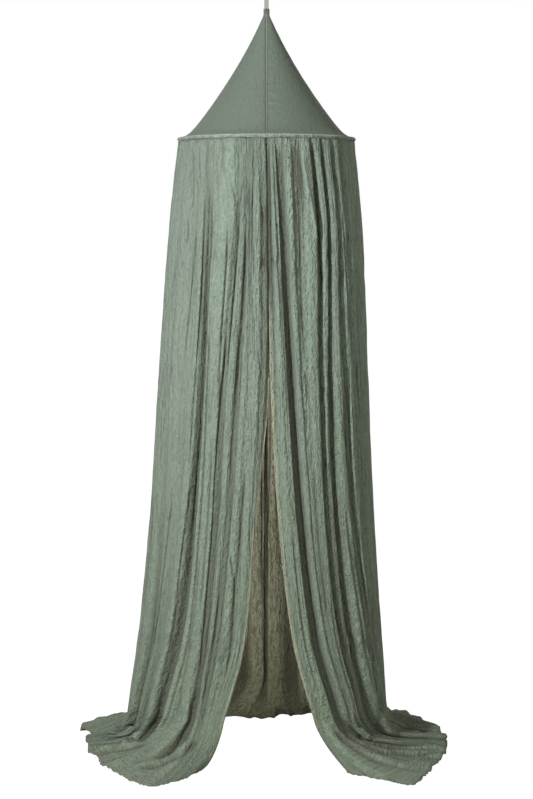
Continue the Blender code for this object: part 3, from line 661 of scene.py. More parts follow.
def curve_value(stops, values, at):
    """The value at a stop along a smooth curve through (stop, value) pairs; stops rise or fall."""
    if stops[0] > stops[-1]:
        stops, values = stops[::-1], values[::-1]
    at = min(stops[-1], max(stops[0], at))
    last = len(stops) - 1
    span = next(i for i in range(last) if at <= stops[i + 1])

    def slope(i):
        before, after = max(0, i - 1), min(last, i + 1)
        return (values[after] - values[before]) / (stops[after] - stops[before])

    width = stops[span + 1] - stops[span]
    t = (at - stops[span]) / width
    return (
        values[span] * (2 * t**3 - 3 * t**2 + 1)
        + values[span + 1] * (3 * t**2 - 2 * t**3)
        + width * slope(span) * (t**3 - 2 * t**2 + t)
        + width * slope(span + 1) * (t**3 - t**2)
    )


def hem_length(laid):
    return sum(
        math.dist((a.hem_x, a.hem_y), (b.hem_x, b.hem_y)) for a, b in zip(laid, laid[1:])
    )


print("hems:", [round(hem_length(laid), 2) for laid in (LEFT_LAID, RIGHT_LAID, BACK_LAID)], "m")

# %% [markdown]
# ## The folds round the back
#
# Nothing in the photograph shows the back's folds one by one, except a few dark stripes seen
# through the doorway, so they are worked out: ridges and grooves in turn, drifting off even
# spacing. The first and last lines are the side seams that the front panels share.

# %% Back folds
def back_folds():
    left, right = LEFT_FOLDS[-1], RIGHT_FOLDS[-1]
    last = 2 * BACK_FOLDS
    shallow, deep = BACK_DEPTH_RANGE
    low, high = BACK_LIFT_RANGE
    folds = []
    for index in range(last + 1):
        share = index / last
        if index in (0, last):
            end = left if index == 0 else right
            depth, lift = end.depth, end.lift
        else:
            grooved = index % 2 == 0
            uneven = 0.5 + 0.5 * math.sin(2.3 * index + 0.7)
            full = shallow + (deep - shallow) * uneven
            depth = tuple((full if grooved else 0.0) for _ in HEIGHTS)
            sideways = abs(2.0 * share - 1.0)
            hump = low + (high - low) * sideways * (0.6 + 0.4 * uneven)
            lift = hump * (0.35 if grooved else 1.0)
        drift = BACK_DRIFT * math.sin(1.7 * index) * math.sin(math.pi * share)
        bearing = tuple(
            a + (360.0 - b - a) * share + drift * (1.0 if k < 3 else 1.4)
            for k, (a, b) in enumerate(zip(left.bearing, right.bearing))
        )
        folds.append(Fold(f"back {index}", bearing, depth, lift, share))
    return folds


print("back fold lines:", len(back_folds()))

# %% [markdown]
# ## One curtain panel
#
# A panel is a grid of points: columns follow the fold lines, and rows run down the wall and then
# over the foot to the hem. Each row is worked out at once for all its columns. On the wall a point
# is set by its bearing and by how deep it lies behind the outline. The foot is a smooth curve from
# the wall to the hem, because muslin has no stiffness and simply turns over onto the floor.
#
# Ridges are round and grooves are narrow: cloth hangs in full curves and is pinched between them.

# %% Panel surface
ROW_STEP = 0.0150  # metres between rows on the wall
FOOT_ROWS = 36
SEAM_EASE = 0.025  # metres
BEARING_SHARE = 0.6  # how far the columns are shared out by bearing, and not by length of hem
LANDING_LIFT, ENDING_LIFT = 1.5, 0.35  # a ridge's lift where it lands and at the hem, in shares
# Where a pleat falls on its way from a ridge to a groove, and where it rises on its way back.
Pleat = namedtuple("Pleat", "fall_from fall_to rise_from rise_to")
EVEN_PLEATS = Pleat(0.28, 0.72, 0.30, 0.80)
KNIFE_PLEATS = Pleat(0.34, 0.66, 0.52, 0.98)  # each face drops away early
CRISP_PLEATS = Pleat(0.50, 0.92, 0.12, 0.95)  # broad faces and narrow grooves
CRISP_FROM = 6  # the fold line where the right panel's pleats turn crisp


class Panel:
    """The middle surface of one curtain, as arrays of rows by columns."""

    def __init__(self, side, folds, laid, columns, pleats):
        self.side, self.folds, self.laid, self.pleats = side, folds, laid, pleats
        self.index, self.share = self.spread(columns)
        self.line = self.index + self.share
        wall_rows = round((HEIGHTS[0] - HEIGHTS[-1]) / ROW_STEP)
        self.heights = np.linspace(HEIGHTS[0], HEIGHTS[-1], wall_rows + 1)
        self.alongs = np.arange(1, FOOT_ROWS + 1) / FOOT_ROWS
        self.place = np.interp(self.line, range(len(folds)), [fold.place for fold in folds])
        self.points = np.array([self.wall(height) for height in self.heights])
        self.points = np.concatenate([self.points, self.foot()])
        self.level = np.concatenate([self.heights, -self.alongs])

    def spread(self, columns):
        """Columns shared out among the folds, by bearing and by length of hem."""
        bearings = [fold.bearing[2] for fold in self.folds]
        places = [fold.place for fold in self.folds]
        turned = np.abs(np.diff(bearings)) / abs(bearings[-1] - bearings[0])
        weight = BEARING_SHARE * turned + (1.0 - BEARING_SHARE) * np.diff(places)
        reached = np.concatenate([[0.0], np.cumsum(weight)])
        line = np.interp(np.linspace(0.0, reached[-1], columns + 1), reached, range(len(reached)))
        index = np.minimum(line.astype(int), len(self.folds) - 2)
        return index, line - index

    def across(self, field, height):
        """A fold line's bearing or depth at each column's near and far line."""
        at = np.array([curve_value(HEIGHTS, getattr(f, field), height) for f in self.folds])
        return at[self.index], at[self.index + 1]

    def swell(self, near, far):
        """How far each column is from its near line's depth to its far line's."""
        later = self.index >= CRISP_FROM
        cut = Pleat(*(np.where(later, b, a) for a, b in zip(*self.pleats)))
        fall = smooth_step((self.share - cut.fall_from) / (cut.fall_to - cut.fall_from))
        rise = smooth_step((self.share - cut.rise_from) / (cut.rise_to - cut.rise_from))
        return np.where(far >= near, fall, rise)

    def outline(self, turn, height, depth):
        sizes = (LEFT_HALF, RIGHT_HALF, FRONT_DEPTH, BACK_DEPTH)
        left, right, front, back = (curve_value(HEIGHTS, size, height) for size in sizes)
        half = np.where(np.sin(turn) >= 0.0, left, right)
        reach = np.where(np.cos(turn) > 0.0, front, back)
        x = -(half - depth) * np.sin(turn)
        y = -(reach - depth) * np.cos(turn)
        return np.stack([x, y, np.full_like(x, height - HOOK_HEIGHT)], axis=-1)

    def turned(self, height):
        near, far = self.across("bearing", height)
        bearing = (1.0 - self.share) * near + self.share * far
        return np.radians(-bearing if self.side > 0 else bearing)

    def sunk(self, height):
        near, far = self.across("depth", height)
        swell = self.swell(near, far)
        below = (HEIGHTS[0] - height) / GATHER_REACH
        gather = SEWN_DEPTH + (1.0 - SEWN_DEPTH) * smooth_step(below)
        return ((1.0 - swell) * near + swell * far) / 1000.0 * gather

    def wall(self, height):
        return self.outline(self.turned(height), height, self.sunk(height))

    def foot(self):
        places = [stop.place for stop in self.laid]

        def laid(axis):
            values = [getattr(stop, axis) for stop in self.laid]
            return np.array([curve_value(places, values, place) for place in self.place])

        height = HEIGHTS[-1]
        turn, depth = self.turned(height), self.sunk(height)
        wall = self.outline(turn, height, depth)
        above = self.outline(turn, height + FOOT_DROP, depth)
        lifts = np.array([fold.lift for fold in self.folds], float)
        near, far = lifts[self.index], lifts[self.index + 1]
        swell = 0.5 - 0.5 * np.cos(np.pi * self.share)
        lift = ((1.0 - swell) * near + swell * far) / 1000.0
        floor_at = LAID_HEIGHT - HOOK_HEIGHT
        landed, ended = floor_at + lift * LANDING_LIFT, floor_at + lift * ENDING_LIFT
        landing = np.stack([laid("foot_x"), laid("foot_y"), landed], axis=-1)
        ending = np.stack([laid("hem_x"), laid("hem_y"), ended], axis=-1)
        leaving = wall + (wall - above)
        leaving += FOOT_LEAN * (landing - leaving) * (1.0, 1.0, 0.0)
        rows = []
        for along in self.alongs:
            left = 1.0 - along
            rows.append(
                wall * left**3
                + leaving * 3.0 * left**2 * along
                + landing * 3.0 * left * along**2
                + ending * along**3
            )
        return np.array(rows)

    def normals(self):
        """Outward normals: away from the axis on the wall, and up on the floor."""
        down = np.gradient(self.points, axis=0)
        across = np.gradient(self.points, axis=1)
        facing = np.cross(across, down)
        facing /= np.maximum(np.linalg.norm(facing, axis=-1, keepdims=True), 1e-9)
        middle = facing[len(self.heights) // 2]
        outward = self.points[len(self.heights) // 2] * (1.0, 1.0, 0.0)
        return facing if np.sum(middle * outward) > 0.0 else -facing

    def arcs(self):
        """Metres across each row from its first column."""
        steps = np.linalg.norm(np.diff(self.points, axis=1), axis=-1)
        return np.concatenate([np.zeros((len(steps), 1)), np.cumsum(steps, axis=1)], axis=1)

    def cloth_across(self):
        """Metres across the cloth at each column, as measured halfway down the wall."""
        return self.arcs()[len(self.heights) // 2]

    def free(self):
        """0 at the side seams, where two panels must meet, and 1 away from them."""
        arcs = self.arcs()
        away = arcs[:, -1:] - arcs
        if self.side == 0:
            away = np.minimum(away, arcs)
        return smooth_step(away / SEAM_EASE)

    def drops(self):
        """Metres down each column from the casing."""
        steps = np.linalg.norm(np.diff(self.points, axis=0), axis=-1)
        return np.concatenate([np.zeros((1, steps.shape[1])), np.cumsum(steps, axis=0)], axis=0)


print("panel surface ready")

# %% [markdown]
# ## Creases, crinkle and hems on a panel
#
# Each crease pushes the surface along its normal with a rounded profile. On top of them comes the
# crinkle of the gauze itself, a long soft noise that runs down the cloth, and the tight small
# gathers just below the casing. The hem along the floor is stitched tighter than the cloth beside
# it, so it draws up into small scallops.

# %% Panel detail
WANDER = 0.07  # how far a crease strays sideways, in fold lines
WANDER_PACE, WANDER_SHIFT = 9.0, 2.1  # radians for a metre, and from one crease to the next
FADE = 0.22  # share of a crease's length over which it starts or ends
FOOT_PATH = 0.4  # metres of path from the wall to the hem
CREASE_GAIN = 1.8
STEEPNESS, ROUNDNESS = 1.5, 1.3  # a crease's profile
SHOULDER = 0.14  # the cloth stands up beside a crease, as a share of its depth
SHOULDER_AT = 2.0  # crease widths away
FLOOR_GROWTH = 0.8  # how much larger the creases are where the cloth lies on the floor
GROWTH_OVER = 0.3  # share of the foot
CRINKLE = 0.0017  # metres
FINE_CRINKLE = 0.0018
PRESSED = 0.0024  # depth of the wandering lines that packing has pressed in
PRESSED_SHARP = 9.0
LEAST_CRINKLE = 0.35
# How often the noises vary in a metre, across the cloth and down it.
BROAD_PACE, FINE_PACE, ZONE_PACE, PRESSED_PACE = (26.0, 3.6), (85.0, 15.0), (4.0, 1.4), (26.0, 2.4)
RIDGE_PACE, RUCK_PACE = (15.0, 1.6), (42.0, 3.5)  # in a metre of hem, and over the whole foot
RUCKS = 0.15  # the fine noise's share in the bunched ridges
RIDGE_SHARP = 2.6
FLOOR_CALM = 0.92  # how much weaker the crinkle is on the floor
CALM_OVER = 0.4  # share of the foot
BUNCHED_FROM, BUNCHED_OVER = 0.30, 0.25  # share of the hem where the bunched cloth begins
BUNCHED_HEIGHT = 0.012
LYING_FROM, LYING_OVER = 0.25, 0.4  # share of the foot where the cloth begins to lie
GATHER_PITCH = 0.0105
GATHER_HEIGHT = 0.0011
GATHER_FADE = 0.045
SCALLOP_PITCH = 0.036
SCALLOP = 0.0068
SCALLOP_REACH = 0.30  # share of the foot that they draw in and out
SCALLOP_MIDDLE = 0.6  # where the straight hem lies between a scallop's ends and its middle
SCALLOP_PACE, PATCH_PACE = 14.0, 6.0  # how often in a metre the scallops' phase and size vary
SCALLOP_LEAST, SCALLOP_OVER = 0.25, 0.35  # small near the doorway, full over this share of the hem
CLOTH_HALF = 0.0009


def varied(pace, across, down, seed):
    return noise.noise(Vector((across * pace[0], down * pace[1], seed)))


def path_at(level):
    """Metres along a crease's path, at a height on the wall or a share of the foot below zero."""
    over_foot = HEIGHTS[0] - HEIGHTS[-1] - FOOT_PATH * level
    return np.where(level >= 0.0, HEIGHTS[0] - level, over_foot)


def crease_offsets(panel, creases):
    """Metres outwards at each point, all creases together."""
    offsets = np.zeros(panel.points.shape[:2])
    arcs = panel.arcs()
    grown = 1.0 + FLOOR_GROWTH * smooth_step(-panel.level / GROWTH_OVER)
    path = path_at(panel.level)
    for number, crease in enumerate(creases):
        start, end = path_at(crease.high), path_at(crease.low)
        done = (path - start) / (end - start)
        for row in np.flatnonzero((done > 0.0) & (done < 1.0)):
            share = done[row]
            strength = smooth_step(min(share, 1.0 - share) / FADE)
            sway = WANDER * math.sin(WANDER_PACE * path[row] + WANDER_SHIFT * number)
            line = crease.top + (crease.foot - crease.top) * share + sway
            centre = np.interp(line, panel.line, arcs[row])
            far = np.abs(arcs[row] - centre) / (crease.width / 1000.0 * grown[row])
            depth = CREASE_GAIN * crease.depth / 1000.0 * strength * grown[row]
            offsets[row] -= depth * np.exp(-STEEPNESS * far**ROUNDNESS)
            offsets[row] += SHOULDER * depth * np.exp(-((far - SHOULDER_AT) ** 2))
    return offsets


def crinkle_offsets(panel, seed):
    """The gauze's own crinkle, in metres outwards, and how far each point is in a pressed line."""
    rows, columns = panel.points.shape[:2]
    offsets, lines = np.zeros((rows, columns)), np.zeros((rows, columns))
    drops, cloth = panel.drops(), panel.cloth_across()
    for row in range(rows):
        for column in range(columns):
            across, down = cloth[column], drops[row, column]
            relief = CRINKLE * varied(BROAD_PACE, across, down, seed)
            relief += FINE_CRINKLE * varied(FINE_PACE, across, down, seed)
            pressed = abs(varied(PRESSED_PACE, across, down, -seed))
            pressed = max(0.0, 1.0 - pressed * PRESSED_SHARP) ** 2
            size = max(LEAST_CRINKLE, 0.8 + 0.9 * varied(ZONE_PACE, across, down, seed))
            offsets[row, column] = size * (relief - PRESSED * pressed)
            lines[row, column] = min(1.0, size) * pressed
    below = drops / GATHER_FADE
    ripple = 2.0 * np.pi * panel.arcs() / GATHER_PITCH + 2.0 * np.sin(panel.line * 1.9 + seed)
    gathers = GATHER_HEIGHT * np.sin(ripple) * np.exp(-below) * smooth_step(below * 6.0)
    calm = 1.0 - FLOOR_CALM * smooth_step(-panel.level / CALM_OVER)[:, None]
    return offsets * calm + gathers, lines * calm


def bunched_offsets(panel, seed):
    """Ridges in the cloth that is pushed together on the floor, in metres, and their creases."""
    hem = panel.arcs()[-1]
    amount = smooth_step((panel.place - BUNCHED_FROM) / BUNCHED_OVER)
    offsets = np.zeros(panel.points.shape[:2])
    creases = np.zeros_like(offsets)
    for row, along in enumerate(panel.alongs, len(panel.heights)):
        lying = smooth_step((along - LYING_FROM) / LYING_OVER)
        for column in np.flatnonzero(amount > 0.0):
            ridge = varied(RIDGE_PACE, hem[column], along, seed)
            ridge += RUCKS * varied(RUCK_PACE, hem[column], along, seed)
            ridge = min(1.0, abs(ridge) * RIDGE_SHARP)
            offsets[row, column] = BUNCHED_HEIGHT * ridge * lying * amount[column]
            creases[row, column] = (1.0 - ridge) ** 3 * lying * amount[column]
    return offsets, creases


def scalloped(panel, points, seed):
    """Draws the floor hem in and out, and up a little between the scallops."""
    hem = panel.arcs()[-1]
    uneven = np.array([noise.noise(Vector((at * SCALLOP_PACE, seed, 0.0))) for at in hem])
    patchy = np.array([noise.noise(Vector((at * PATCH_PACE, 0.0, seed))) for at in hem])
    wave = np.abs(np.sin(np.pi * hem / SCALLOP_PITCH + 7.0 * uneven))
    further = smooth_step(panel.place / SCALLOP_OVER)
    size = smooth_step(0.5 + 1.6 * patchy) * (SCALLOP_LEAST + (1.0 - SCALLOP_LEAST) * further)
    size *= panel.free()[-1]
    outward = panel.points[-1] - panel.points[-8]
    outward[:, 2] = 0.0
    outward /= np.maximum(np.linalg.norm(outward, axis=-1, keepdims=True), 1e-6)
    for row, along in enumerate(panel.alongs, len(panel.heights)):
        ramp = smooth_step((along - 1.0 + SCALLOP_REACH) / SCALLOP_REACH)
        points[row] += outward * (SCALLOP * ramp * (wave - SCALLOP_MIDDLE) * size)[:, None]
        points[row, :, 2] += SCALLOP * 0.5 * ramp * (1.0 - wave) * panel.free()[-1]
    return points


print("panel detail ready")

# %% [markdown]
# ## Making the sheet
#
# `create_grid` gives a flat grid, and every vertex is then moved to its place on the surface. The
# cloth's UV map is laid out in metres, because the weave must have its real size. Attributes say
# where the grooves, the ridges and the hems are, for the finish. A Solidify modifier gives the
# cloth its thickness, and a vertex group makes the turned hems thicker than the single cloth
# beside them.

# %% Sheet maker
HEM_THIN = 0.55  # a single layer's thickness beside the doubled hem's


def sheet_mesh(name, points, cloth_across, cloth_along, layers, thickness, finish, inner=None):
    """A sheet of cloth through rows by columns of points; its inner face may have its own finish.

    Layers are numbers from 0 to 1 at every point, by name, for the finish; "hem" also thickens.
    """
    rows, columns = points.shape[0] - 1, points.shape[1] - 1
    grid = bmesh.new()
    bmesh.ops.create_grid(grid, x_segments=columns, y_segments=rows, size=1.0)
    cloth = grid.loops.layers.uv.new("cloth")
    kept = {label: grid.verts.layers.float.new(label) for label in layers}
    found = {}
    for vert in grid.verts:
        column = round((vert.co.x + 1.0) / 2.0 * columns)
        row = round((1.0 - vert.co.y) / 2.0 * rows)
        found[vert] = (row, column)
        vert.co = points[row, column]
        for label, layer in kept.items():
            vert[layer] = min(1.0, max(0.0, layers[label][row, column]))
    for face in grid.faces:
        for loop in face.loops:
            row, column = found[loop.vert]
            loop[cloth].uv = (cloth_across[row, column], cloth_along[row, column])
    mesh = bpy.data.meshes.new(name)
    grid.normal_update()
    outwards = sum(
        face.normal.x * face.calc_center_median().x + face.normal.y * face.calc_center_median().y
        for face in grid.faces
    )
    if outwards < 0.0:
        bmesh.ops.reverse_faces(grid, faces=grid.faces)
    grid.to_mesh(mesh)
    grid.free()
    mesh.shade_smooth()
    mesh.materials.append(finish)
    if inner:
        mesh.materials.append(inner)
    piece = bpy.data.objects.new(name, mesh)
    bpy.context.scene.collection.objects.link(piece)
    band = piece.vertex_groups.new(name="hem")
    if "hem" in layers:
        thick = np.zeros(len(mesh.vertices))
        mesh.attributes["hem"].data.foreach_get("value", thick)
        for number in np.flatnonzero(thick > 0.0):
            band.add([int(number)], float(thick[number]), "REPLACE")
    skin = piece.modifiers.new("thickness", "SOLIDIFY")
    skin.thickness = thickness
    skin.offset = 0.0
    skin.material_offset = 1 if inner else 0
    skin.vertex_group = "hem"
    skin.thickness_vertex_group = HEM_THIN
    return piece


def area_of(piece):
    """Square metres of one side of a sheet."""
    form = bmesh.new()
    form.from_mesh(piece.data)
    total = sum(face.calc_area() for face in form.faces)
    form.free()
    return total


print("sheet maker ready")

# %% [markdown]
# ## The curtains
#
# The two front panels overlap a little at the top of the doorway and part below it. Their front
# edges and their floor edges have a turned hem, paler along the doorway where the light catches
# its fold: a painted highlight. The gap between the panels gets a painted shadow. The panel round
# the back is the one seen through the doorway.

# %% Curtains
CLOTH = 0.0022
SEWN_REACH = 0.02  # metres below the casing over which the relief comes in
LEAST_HEIGHT = CLOTH_HALF + 0.0006  # above the floor
# Millimetres in, for the left, back and right panel, for the painted shade of the grooves: where a
# fold starts to look like a groove, and where it is one.
SUNK = {-1: (3.5, 18.0), 0: (2.0, 11.0), 1: (7.0, 26.0)}
TOP_SHADE = 0.9  # close to the casing even the right panel's shallow gathers look dark
TOP_FROM, TOP_OVER = 1.72, 0.30
CREASE_DARK = 2.9  # a crease this many millimetres deep is as dark as a groove
FULL_GROOVE, FULL_CREASE = 0.9, 0.8  # how dark the two can get, as shares
BUNCHED_SHADE = 0.60
PRESSED_SHADE = 0.42
GAP_WIDTH = 0.014  # the left panel's edge lies in the right one's shadow
GAP_OVER = 0.3  # metres of height over which the shadow ends
GLINT_TOP, GLINT_LOW = 1.895, 1.825  # except where it turns out and catches the light
GLINT_EASE = 0.01
HEM_CLEAR, HEM_EASE = 0.7, 0.3  # shares of the hem's width that show in full and that fade
DOOR_HEM = 0.009
PALE_FROM, PALE_OVER = 1.60, 0.20  # painted highlight: the doorway's hem is painted pale below this height
COLUMNS = 300


def curtain(name, node, side, folds, laid, creases, finish, seed, flat, pleats):
    """One panel, dressed and attached to the root."""
    panel = Panel(side, folds, laid, COLUMNS, pleats)
    facing = panel.normals()
    creased = crease_offsets(panel, creases)
    crinkled, lines = crinkle_offsets(panel, seed)
    bunched, between = bunched_offsets(panel, seed)
    arcs, drops = panel.arcs(), panel.drops()
    offsets = (creased + crinkled + bunched) * smooth_step(drops / SEWN_REACH) * panel.free()
    points = scalloped(panel, panel.points + facing * offsets[..., None], seed)
    points[..., 2] = np.maximum(points[..., 2], LEAST_HEIGHT - HOOK_HEIGHT)

    depths = np.array([panel.sunk(height) for height in panel.heights]) * 1000.0
    if side > 0:
        depths *= 1.0 + TOP_SHADE * smooth_step((panel.heights[:, None] - TOP_FROM) / TOP_OVER)
    shallow, deep = SUNK[side]
    foot = (1.0 - panel.alongs)[:, None]
    sunk = smooth_step((depths - shallow) / (deep - shallow))
    proud = 1.0 - smooth_step(depths / deep)
    pressed = creased * 1000.0 / CREASE_DARK

    def shaded(wall, crease):
        """From the folds down the wall, faded out over the foot, and from the creases."""
        folded = np.concatenate([wall, wall[-1] * foot]) * FULL_GROOVE
        return folded + np.clip(crease, 0.0, FULL_CREASE)

    # painted shade: grooves, creases, bunched floor folds and pressed lines, outside and inside
    layers = {"groove": shaded(sunk, -pressed), "ridge": shaded(proud, pressed)}
    layers["groove"] += BUNCHED_SHADE * between + PRESSED_SHADE * lines
    left_over = drops[-1] - drops
    hem = 1.0 - smooth_step((left_over - HEM_WIDTH * HEM_CLEAR) / (HEM_WIDTH * HEM_EASE))
    if side:
        # painted highlight on the doorway's hem and at the glint; painted shadow in the gap
        level = panel.level[:, None]
        pale = smooth_step((PALE_FROM - level) / PALE_OVER)
        if side < 0:
            glint = smooth_step((GLINT_TOP - level) / GLINT_EASE)
            glint = glint * smooth_step((level - GLINT_LOW) / GLINT_EASE)
            dim = smooth_step((level - PALE_FROM + GAP_OVER) / GAP_OVER) * (1.0 - glint)
            near = 1.0 - smooth_step((arcs - GAP_WIDTH) / (0.5 * GAP_WIDTH))
            layers["groove"] = np.maximum(layers["groove"], dim * near)
            pale = np.maximum(pale, glint)
        beyond = smooth_step((arcs - DOOR_HEM) / (HEM_EASE * DOOR_HEM))
        hem = np.maximum(hem, pale * (1.0 - beyond))
    layers["hem"] = hem
    across = np.broadcast_to(panel.cloth_across() + seed, drops.shape)
    piece = sheet_mesh(name, points, across, drops, layers, CLOTH, finish, shaded_inner_muslin)
    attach(piece, "root")
    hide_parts(node)
    print(f"{name}: {area_of(piece):.2f} square metres, cut from {flat[0]} x {flat[1]} m")
    return piece


LEFT_FLAT, RIGHT_FLAT, BACK_FLAT = (0.80, 2.27), (0.80, 2.27), (1.30, 2.20)
BACK_CREASE_COUNT, BACK_CREASE_FIRST, BACK_CREASE_STEP = 40, 1.3, 0.62  # in fold lines
curtain("curtain_left_cloth", "curtain_left", -1, LEFT_FOLDS, LEFT_LAID, LEFT_CREASES,
        curtain_muslin, 3.0, LEFT_FLAT, (EVEN_PLEATS, EVEN_PLEATS))
curtain("curtain_right_cloth", "curtain_right", 1, RIGHT_FOLDS, RIGHT_LAID, RIGHT_CREASES,
        curtain_muslin, 11.0, RIGHT_FLAT, (KNIFE_PLEATS, CRISP_PLEATS))

# How each of the back's creases differs from the next: the middle, swing and pace of a wave.
BACK_WAVES = (
    (0.0, 0.4, 2.7), (1.65, -0.25, 5.1), (0.45, 0.25, 3.3), (4.8, 1.4, 1.3), (-4.0, -2.0, 4.1),
)


def back_crease(number):
    top = BACK_CREASE_FIRST + BACK_CREASE_STEP * number
    strays, *rest = (mid + swing * math.sin(pace * number) for mid, swing, pace in BACK_WAVES)
    return Crease(top, top + strays, *rest)


BACK_CREASES = tuple(back_crease(number) for number in range(BACK_CREASE_COUNT))
curtain("curtain_back_cloth", "curtain_back", 0, back_folds(), BACK_LAID, BACK_CREASES,
        back_muslin, 23.0, BACK_FLAT, (EVEN_PLEATS, EVEN_PLEATS))

# %% [markdown]
# ## The roof
#
# Two gores make the cone, sewn down the front and the back. Drawn tight between the tape and the
# hoop they hang in a hollow curve, with hardly a crease. What shows is the seam, a fine line where
# the gores are pinched together, and a few short puckers on its right where one side was eased.

# %% Roof
ROOF_TIP_RADIUS = 0.0093
ROOF_SPREAD, ROOF_FLARE = 0.42, 0.47  # metres of radius for a metre down, and for its square
ROOF_LIP_DEPTH = 0.010
ROOF_SEAT = 135.0  # degrees round the rod where the roof is sewn to the casing
ROOF_CLOTH = 0.0016
ROOF_COLUMNS, ROOF_ROWS = 130, 170
ROW_SPREAD = 1.3  # the rows lie closer towards the tip
SEAM_PINCH = 0.0022
SEAM_WIDTH = 0.006
PINCH_TOP, PINCH_FOOT = 0.03, 0.02  # metres over which the pinch comes in and goes
RELIEF_TOP, RELIEF_FOOT = 0.02, 0.015  # and over which all relief does
PUCKER_FADE = 0.7
SLACK = 0.0007  # metres: how far the stretched cloth is out of true
SLACK_ACROSS, SLACK_SLANT, SLACK_DOWN = 24.0, 17.0, 7.0  # how often, in a metre
SEAM_SHADE = 0.8
SLOPE = 1.2  # metres of cloth for a metre down

Pucker = namedtuple("Pucker", "drop fall reach depth width")
PUCKERS = (
    Pucker(0.262, -0.004, 0.060, 3.4, 4.0),
    Pucker(0.285, 0.022, 0.045, 4.0, 4.0),
    Pucker(0.320, -0.004, 0.080, 3.0, 4.0),
    Pucker(0.345, 0.006, 0.050, 2.0, 4.0),
    Pucker(0.120, 0.080, 0.030, 1.2, 4.0),
    Pucker(0.165, 0.070, 0.040, 1.0, 4.0),
)


def roof_gore(name, node, side):
    """Half of the cone, from the front seam to the back seam."""
    seat = math.radians(ROOF_SEAT)
    reach = CASING_OUTSIDE + 2.0 * SEAM_GAP
    foot_radius = HOOP_RADIUS + reach * math.cos(seat)
    height = APEX_HEIGHT - (HOOP_HEIGHT + reach * math.sin(seat))
    lip = foot_radius - ROOF_SPREAD * height - ROOF_FLARE * height**2
    depth = height * (1.0 - (1.0 - np.linspace(0.0, 1.0, ROOF_ROWS + 1)) ** ROW_SPREAD)
    radius = ROOF_SPREAD * depth + ROOF_FLARE * depth**2
    radius = np.maximum(ROOF_TIP_RADIUS, radius + lip * np.exp((depth - height) / ROOF_LIP_DEPTH))
    turn = np.linspace(0.0, np.pi, ROOF_COLUMNS + 1)
    turn = np.pi * (0.5 - 0.5 * np.cos(turn)) * 0.5 + 0.5 * turn
    radii = np.repeat(radius[:, None], len(turn), axis=1)
    depths = np.repeat(depth[:, None], len(turn), axis=1)
    inset = (0.5 * SEAM_GAP + 0.0001) / radii
    angles = inset + (np.pi - 2.0 * inset) * turn[None, :] / np.pi
    from_front, from_back = angles * radii, (np.pi - angles) * radii
    pinch = np.exp(-((from_front / SEAM_WIDTH) ** 2)) + np.exp(-((from_back / SEAM_WIDTH) ** 2))
    offset = -SEAM_PINCH * pinch * smooth_step(depths / PINCH_TOP)
    offset *= smooth_step((height - depths) / PINCH_FOOT)
    if side > 0:
        for pucker in PUCKERS:
            share = np.clip(from_front / pucker.reach, 0.0, 1.0)
            line = pucker.drop + pucker.fall * share**2
            away = (depths - line) / (pucker.width / 1000.0)
            offset += pucker.depth / 1000.0 * np.exp(-away * away) * (1.0 - share) ** PUCKER_FADE
    for row in range(offset.shape[0]):
        for column in range(offset.shape[1]):
            across = side * from_front[row, column]
            along = depths[row, column]
            slanting = across * SLACK_ACROSS + along * SLACK_SLANT
            offset[row, column] += SLACK * varied((1.0, SLACK_DOWN), slanting, along, 5.0)
    offset *= smooth_step(depths / RELIEF_TOP) * smooth_step((height - depths) / RELIEF_FOOT)
    radii = radii + offset
    x, y = side * radii * np.sin(angles), -radii * np.cos(angles)
    points = np.stack([x, y, APEX_HEIGHT - depths - HOOK_HEIGHT], axis=-1)
    layers = {"groove": pinch * SEAM_SHADE}
    return sheet_mesh(
        name, points, side * from_front, depths * SLOPE, layers, ROOF_CLOTH, shaded_roof_muslin
    )


print("roof gores:", ROOF_COLUMNS, "by", ROOF_ROWS)
for gore_name, gore_node, gore_side in (
    ("roof_left_cloth", "roof_left", -1),
    ("roof_right_cloth", "roof_right", 1),
):
    gore = roof_gore(gore_name, gore_node, gore_side)
    area = area_of(gore)
    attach(gore, "root")
    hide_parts(gore_node)
    print(f"{gore_name}: {area:.3f} square metres")

# %% [markdown]
# ## The casing
#
# The rod runs inside a sleeve of the same muslin, doubled, that catches the light as a pale band
# between the roof and the curtains. It is gathered a little where it is sewn, so it isn't a smooth
# tube: short folds cross it, and it stands proud at both sides of the outline.

# %% Casing
CASING_STEPS, CASING_ROUND = 420, 18
CASING_RIPPLE = 0.0013
# How often the gathers vary: round the hoop, in a radius's length, and round the rod, in a radian.
BROAD_GATHERS, CLOSE_GATHERS = (14.0, 0.5), (48.0, 1.2)
CLOSE_SHARE = 0.7
RIPPLE_SHADE = 300.0  # how much darker for a metre in
UNDER_SHADE, OVER_SHADE = 0.75, 0.9
# Degrees round the rod where the shade below ends and the one above begins.
UNDER_FROM, UNDER_OVER, OVER_FROM, OVER_OVER = 18.0, 35.0, 95.0, 25.0


def gathered(pace, turn, angle):
    x, y = math.cos(turn) * pace[0], math.sin(turn) * pace[0]
    return noise.noise(Vector((x, y, angle * pace[1])))


